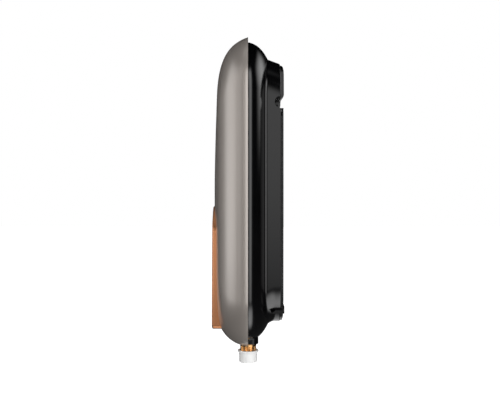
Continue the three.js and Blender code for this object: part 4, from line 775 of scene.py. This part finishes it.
def finish(name, dark, light, rough, metallic=0.0, grain=0.5, broad=40.0, bump=0.0, stretch=(1, 1, 1),
           coat=0.0, coat_rough=0.05, blend=0.5):
    """dark and light are the two ends of the colour, rough the two ends of the roughness. grain and broad
    are the sizes, in millimetres, of the fine texture and of the slow change over the surface. bump is the
    height of the fine texture, stretch turns it into a brushed one, and blend is its share of the change."""
    made = bpy.data.materials.new(name)
    made.use_nodes = True
    tree = made.node_tree
    make_node, link = tree.nodes.new, tree.links.new
    shader = tree.nodes["Principled BSDF"]
    place = make_node("ShaderNodeTexCoord")
    stretched = make_node("ShaderNodeMapping")
    stretched.inputs["Scale"].default_value = stretch
    link(place.outputs["Object"], stretched.inputs["Vector"])
    fine = make_node("ShaderNodeTexNoise")
    fine.inputs["Scale"].default_value = 1 / (grain * MM)
    fine.inputs["Detail"].default_value = 3
    link(stretched.outputs["Vector"], fine.inputs["Vector"])
    slow = make_node("ShaderNodeTexNoise")
    slow.inputs["Scale"].default_value = 1 / (broad * MM)
    slow.inputs["Detail"].default_value = 4
    link(place.outputs["Object"], slow.inputs["Vector"])
    both = make_node("ShaderNodeMix")
    both.data_type = "FLOAT"
    both.inputs["Factor"].default_value = blend
    link(slow.outputs["Fac"], both.inputs["A"])
    link(fine.outputs["Fac"], both.inputs["B"])
    low, high = NOISE_RANGE
    colour = make_node("ShaderNodeValToRGB")
    for stop, position, shade in zip(colour.color_ramp.elements, NOISE_RANGE, (dark, light)):
        stop.position = position
        stop.color = (*shade, 1)
    link(both.outputs["Result"], colour.inputs["Fac"])
    link(colour.outputs["Color"], shader.inputs["Base Color"])
    link(map_node(tree, both.outputs["Result"], low, high, *rough), shader.inputs["Roughness"])
    if bump > 0:
        relief = make_node("ShaderNodeBump")
        relief.inputs["Strength"].default_value = 1.0
        relief.inputs["Distance"].default_value = bump * MM
        link(fine.outputs["Fac"], relief.inputs["Height"])
        link(relief.outputs["Normal"], shader.inputs["Normal"])
    shader.inputs["Metallic"].default_value = metallic
    shader.inputs["Coat Weight"].default_value = coat
    shader.inputs["Coat Roughness"].default_value = coat_rough
    return made


FINISHES = {
    "champagne_shell": dict(
        dark=(0.33, 0.295, 0.27), light=(0.36, 0.325, 0.298), rough=(0.36, 0.42), metallic=0.55,
        grain=0.35, broad=60, bump=0.004, coat=0.6, coat_rough=0.06, blend=0.6),
    "black_shell": dict(
        dark=(0.0012, 0.0012, 0.0014), light=(0.0025, 0.0025, 0.0028), rough=(0.12, 0.17),
        grain=1.6, broad=50, bump=0.002, blend=0.3),
    "copper_trim": dict(
        dark=(0.46, 0.195, 0.09), light=(0.51, 0.22, 0.105), rough=(0.30, 0.36), metallic=0.85,
        grain=0.4, broad=30, bump=0.003, stretch=(1, 1, 0.08)),
    "dark_glass": dict(
        dark=(0.004, 0.005, 0.007), light=(0.007, 0.008, 0.011), rough=(0.02, 0.04),
        grain=6, broad=60, coat=0.5, coat_rough=0.02),
    "bracket_steel": dict(
        dark=(0.010, 0.010, 0.011), light=(0.016, 0.016, 0.017), rough=(0.42, 0.52), bump=0.012),
    "pipe_brass": dict(
        dark=(0.74, 0.40, 0.15), light=(0.86, 0.50, 0.21), rough=(0.18, 0.28), metallic=1.0,
        broad=9, bump=0.004, stretch=(0.15, 0.15, 1)),
    "white_plastic": dict(
        dark=(0.64, 0.64, 0.635), light=(0.70, 0.70, 0.695), rough=(0.38, 0.48),
        grain=0.4, broad=12, bump=0.004),
    "red_plastic": dict(
        dark=(0.42, 0.02, 0.015), light=(0.52, 0.03, 0.02), rough=(0.35, 0.45), grain=0.6, bump=0.004),
    "black_rubber": dict(
        dark=(0.008, 0.008, 0.008), light=(0.014, 0.014, 0.014), rough=(0.65, 0.8), broad=15, bump=0.012),
    "black_plastic": dict(
        dark=(0.010, 0.010, 0.010), light=(0.018, 0.018, 0.018), rough=(0.4, 0.5), broad=15, bump=0.008),
    "grey_plastic": dict(
        dark=(0.14, 0.15, 0.165), light=(0.18, 0.19, 0.205), rough=(0.45, 0.55), broad=20, bump=0.006),
    "blue_plastic": dict(
        dark=(0.012, 0.07, 0.27), light=(0.018, 0.09, 0.33), rough=(0.35, 0.45), broad=15, bump=0.005),
    "brown_wire": dict(
        dark=(0.065, 0.024, 0.009), light=(0.085, 0.032, 0.012), rough=(0.4, 0.5), broad=12, bump=0.005),
    "green_wire": dict(
        dark=(0.03, 0.20, 0.012), light=(0.55, 0.45, 0.02), rough=(0.4, 0.5), grain=30, broad=3, blend=0.2),
    "circuit_board": dict(
        dark=(0.006, 0.055, 0.018), light=(0.012, 0.085, 0.03), rough=(0.25, 0.45),
        grain=1.2, broad=8, bump=0.03),
    "bright_steel": dict(
        dark=(0.42, 0.43, 0.45), light=(0.52, 0.53, 0.55), rough=(0.22, 0.34), metallic=1.0,
        grain=0.4, broad=20, bump=0.004, stretch=(1, 1, 0.1)),
    "copper_pipe": dict(
        dark=(0.52, 0.20, 0.09), light=(0.62, 0.27, 0.13), rough=(0.22, 0.38), metallic=1.0,
        grain=0.6, broad=14, bump=0.004, stretch=(1, 1, 0.1)),
    "sink_aluminium": dict(
        dark=(0.38, 0.39, 0.41), light=(0.46, 0.47, 0.49), rough=(0.32, 0.45), metallic=1.0,
        grain=0.4, broad=20, bump=0.006, stretch=(1, 1, 0.05)),
}
MATERIALS = {name: finish(name, **values) for name, values in FINISHES.items()}


# ---- pieces onto their bodies ----

def dress(piece, slot):
    piece.data.materials.clear()
    piece.data.materials.append(MATERIALS[slot])


def put(pieces, body, slot, *stands_for):
    """Gives pieces their finish and their body, and hides the CAD nodes that they stand for."""
    for piece in pieces:
        dress(piece, slot)
        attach(piece, body)
        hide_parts(*stands_for)


for subpart in frame["record"]["subparts"]:
    dress(nodes[subpart["node"]], subpart["material_slot"])

put([cover] + cover_collars, "heater", "champagne_shell", "front_cover")
put([rear, pad, lower_pad] + rear_collars, "heater", "black_shell", "rear_shell")
put([bezel], "heater", "copper_trim", "copper_bezel")
put([glass], "heater", "dark_glass", "display_glass")
put([bracket], "bracket", "bracket_steel", "wall_bracket")
put([grommet], "heater", "black_rubber", "cable_grommet")
for i, screw in enumerate(screws):
    put([screw], "heater", "bright_steel", "cover_screw_%d" % (i + 1))
for stub, cap, label in zip(stubs, caps, ("outlet", "inlet")):
    put([stub], "heater", "pipe_brass", label + "_stub")
    put([cap], label + "_transport_cap", "white_plastic", label + "_cap")
for body, x in KEYS:
    label = body.replace("_button", "")
    put([key_cap(label + "_key_cap", x)], body, "copper_trim", label + "_key")
    put([key_mark(label + "_mark", x)], body, "black_plastic", label + "_key")


# ---- floor, light and camera, in metres ----

CAMERA_PLACE = (0.945, -0.0436, 0.009)
LENS = 49.97  # millimetres, on a sensor 36 mm wide
SENSOR = 36
LIGHT_TARGET = (0, -0.046, 0.02)
EVEN_LIGHT = 0.3
BACKDROP_CONE = 10  # degrees
FLOOR_Z = -1.2
FLOOR_SIZE = 60
FLOOR_PALE = (0.78, 0.82)
FLOOR_BOUNCE = 0.06
FLOOR_FADE = (1.5, 3.2)  # the floor's own white rises over this way from its middle
FLOOR_GLOW = (0.75, 1.0)
SOFTBOXES = {
    # name: azimuth, elevation, distance, width, height, radiance at top and bottom, softness across and up
    "camera_side": (0, 9, 1.5, 0.8, 2.1, 1.75, 0.85, 0.5, 0.9),
    "seam": (30, 13, 1.4, 0.8, 2.0, 3.0, 2.9, 0.5, 0.4),
    "fill": (73, 13, 1.4, 0.5, 1.9, 0.9, 0.9, 0.5, 0.4),
    "front": (103, 10, 1.3, 1.25, 1.6, 1.15, 2.35, 0.75, 0.5),
    "strip": (-41, 14, 1.5, 1.0, 2.3, 3.6, 2.3, 0.8, 0.5),
    "back": (-119, 25, 1.3, 1.5, 1.1, 2.0, 1.8, 0.9, 0.9),
    "low": (-32, -52, 0.9, 1.05, 1.2, 3.2, 3.8, 0.6, 0.8),
    "high": (60, 78, 1.4, 1.5, 1.5, 0.6, 0.6, 0.6, 0.6),
}


def mirror_ray(tree, path):
    return math_node(tree, "MAXIMUM", path.outputs["Is Glossy Ray"], path.outputs["Is Transmission Ray"])


def backdrop_share(tree, direction):
    """1 where a direction looks at the backdrop right behind the heater, 0 outside a narrow cone round it."""
    unit = tree.nodes.new("ShaderNodeVectorMath")
    unit.operation = "NORMALIZE"
    split = tree.nodes.new("ShaderNodeSeparateXYZ")
    tree.links.new(direction, unit.inputs[0])
    tree.links.new(unit.outputs["Vector"], split.inputs[0])
    edge, core = (-math.cos(math.radians(angle)) for angle in (BACKDROP_CONE, BACKDROP_CONE / 2))
    return map_node(tree, split.outputs["X"], edge, core)


def floor_material():
    """A pale floor. The camera sees it white, less what the object shades near it, and so do mirrors and
    glass where it lies behind the heater. Elsewhere it throws little light up, as a dark cloth would."""
    made = bpy.data.materials.new("pale_floor")
    made.use_nodes = True
    tree = made.node_tree
    link = tree.links.new
    shader = tree.nodes["Principled BSDF"]
    path = tree.nodes.new("ShaderNodeLightPath")
    noise = tree.nodes.new("ShaderNodeTexNoise")
    noise.inputs["Scale"].default_value = 3
    shade = tree.nodes.new("ShaderNodeMix")
    shade.data_type = "FLOAT"
    shade.inputs["A"].default_value = FLOOR_BOUNCE
    link(path.outputs["Is Camera Ray"], shade.inputs["Factor"])
    link(map_node(tree, noise.outputs["Fac"], 0, 1, *FLOOR_PALE), shade.inputs["B"])
    grey = tree.nodes.new("ShaderNodeCombineColor")
    for label in ("Red", "Green", "Blue"):
        link(shade.outputs["Result"], grey.inputs[label])
    link(grey.outputs["Color"], shader.inputs["Base Color"])
    shader.inputs["Roughness"].default_value = 0.9
    shader.inputs["Specular IOR Level"].default_value = 0.1
    place = tree.nodes.new("ShaderNodeTexCoord")
    away = tree.nodes.new("ShaderNodeVectorMath")
    away.operation = "LENGTH"
    link(place.outputs["Object"], away.inputs[0])
    seen = math_node(tree, "MULTIPLY", path.outputs["Is Camera Ray"],
                     map_node(tree, away.outputs["Value"], *FLOOR_FADE, *FLOOR_GLOW, smooth=True))
    behind = backdrop_share(tree, place.outputs["Object"])
    glow = tree.nodes.new("ShaderNodeEmission")
    link(math_node(tree, "MULTIPLY_ADD", mirror_ray(tree, path), behind, seen), glow.inputs["Strength"])
    both = tree.nodes.new("ShaderNodeAddShader")
    link(shader.outputs[0], both.inputs[0])
    link(glow.outputs[0], both.inputs[1])
    link(both.outputs[0], tree.nodes["Material Output"].inputs["Surface"])
    return made


def softbox(name, azimuth, elevation, distance, width, height, top, bottom, soft_x, soft_y):
    """An area light that looks at the heater. azimuth turns from +X, where the camera is, towards -Y, the
    front. top and bottom are the radiance towards its upper and lower edge, and soft_x and soft_y the share
    of half its width and height over which it fades out to its edges."""
    light = bpy.data.lights.new(name, "AREA")
    light.shape = "RECTANGLE"
    light.size = width
    light.size_y = height
    light.energy = width * height * math.pi
    light.use_nodes = True
    tree = light.node_tree
    place = tree.nodes.new("ShaderNodeNewGeometry")
    split = tree.nodes.new("ShaderNodeSeparateXYZ")
    tree.links.new(place.outputs["Parametric"], split.inputs[0])
    strength = map_node(tree, split.outputs["Y"], 0, 1, bottom, top)
    for axis, soft in (("X", soft_x), ("Y", soft_y)):
        inward = math_node(tree, "PINGPONG", split.outputs[axis], 0.5)
        strength = math_node(tree, "MULTIPLY", strength, map_node(tree, inward, 0, soft / 2, smooth=True))
    tree.links.new(strength, tree.nodes["Emission"].inputs["Strength"])
    a, e = math.radians(azimuth), math.radians(elevation)
    towards = Vector((math.cos(a) * math.cos(e), -math.sin(a) * math.cos(e), math.sin(e)))
    lamp = bpy.data.objects.new(name, light)
    bpy.context.scene.collection.objects.link(lamp)
    lamp.location = Vector(LIGHT_TARGET) + towards * distance
    lamp.rotation_mode = "QUATERNION"
    lamp.rotation_quaternion = (-towards).to_track_quat("-Z", "Y")
    lamp.visible_camera = False


def studio_world():
    """White for the camera, and for mirrors and glass that look at the backdrop behind the heater. Diffuse
    surfaces get an even light, and what mirrors see to the sides is a dark studio with the softboxes."""
    world = bpy.data.worlds.new("studio")
    world.use_nodes = True
    tree = world.node_tree
    tree.nodes.clear()
    path = tree.nodes.new("ShaderNodeLightPath")
    place = tree.nodes.new("ShaderNodeTexCoord")
    white = math_node(tree, "MULTIPLY_ADD", mirror_ray(tree, path),
                      backdrop_share(tree, place.outputs["Generated"]), path.outputs["Is Camera Ray"])
    even = math_node(tree, "MULTIPLY", path.outputs["Is Diffuse Ray"], EVEN_LIGHT)
    light = tree.nodes.new("ShaderNodeBackground")
    light.inputs["Color"].default_value = (1, 1, 1, 1)
    tree.links.new(math_node(tree, "ADD", white, even), light.inputs["Strength"])
    output = tree.nodes.new("ShaderNodeOutputWorld")
    tree.links.new(light.outputs[0], output.inputs["Surface"])
    return world


bpy.ops.mesh.primitive_plane_add(size=FLOOR_SIZE, location=(0, 0, FLOOR_Z))
floor = bpy.context.object
floor.name = "studio_floor"
floor.data.materials.append(floor_material())
for name, values in SOFTBOXES.items():
    softbox(name, *values)
scene = bpy.context.scene
scene.world = studio_world()

lens = bpy.data.cameras.new("photo_camera")
lens.lens = LENS
lens.sensor_width = SENSOR
camera = bpy.data.objects.new("photo_camera", lens)
scene.collection.objects.link(camera)
camera.location = CAMERA_PLACE
camera.rotation_euler = (math.pi / 2, 0, math.pi / 2)
bpy.context.scene.camera = camera
scene.view_settings.view_transform = "Standard"
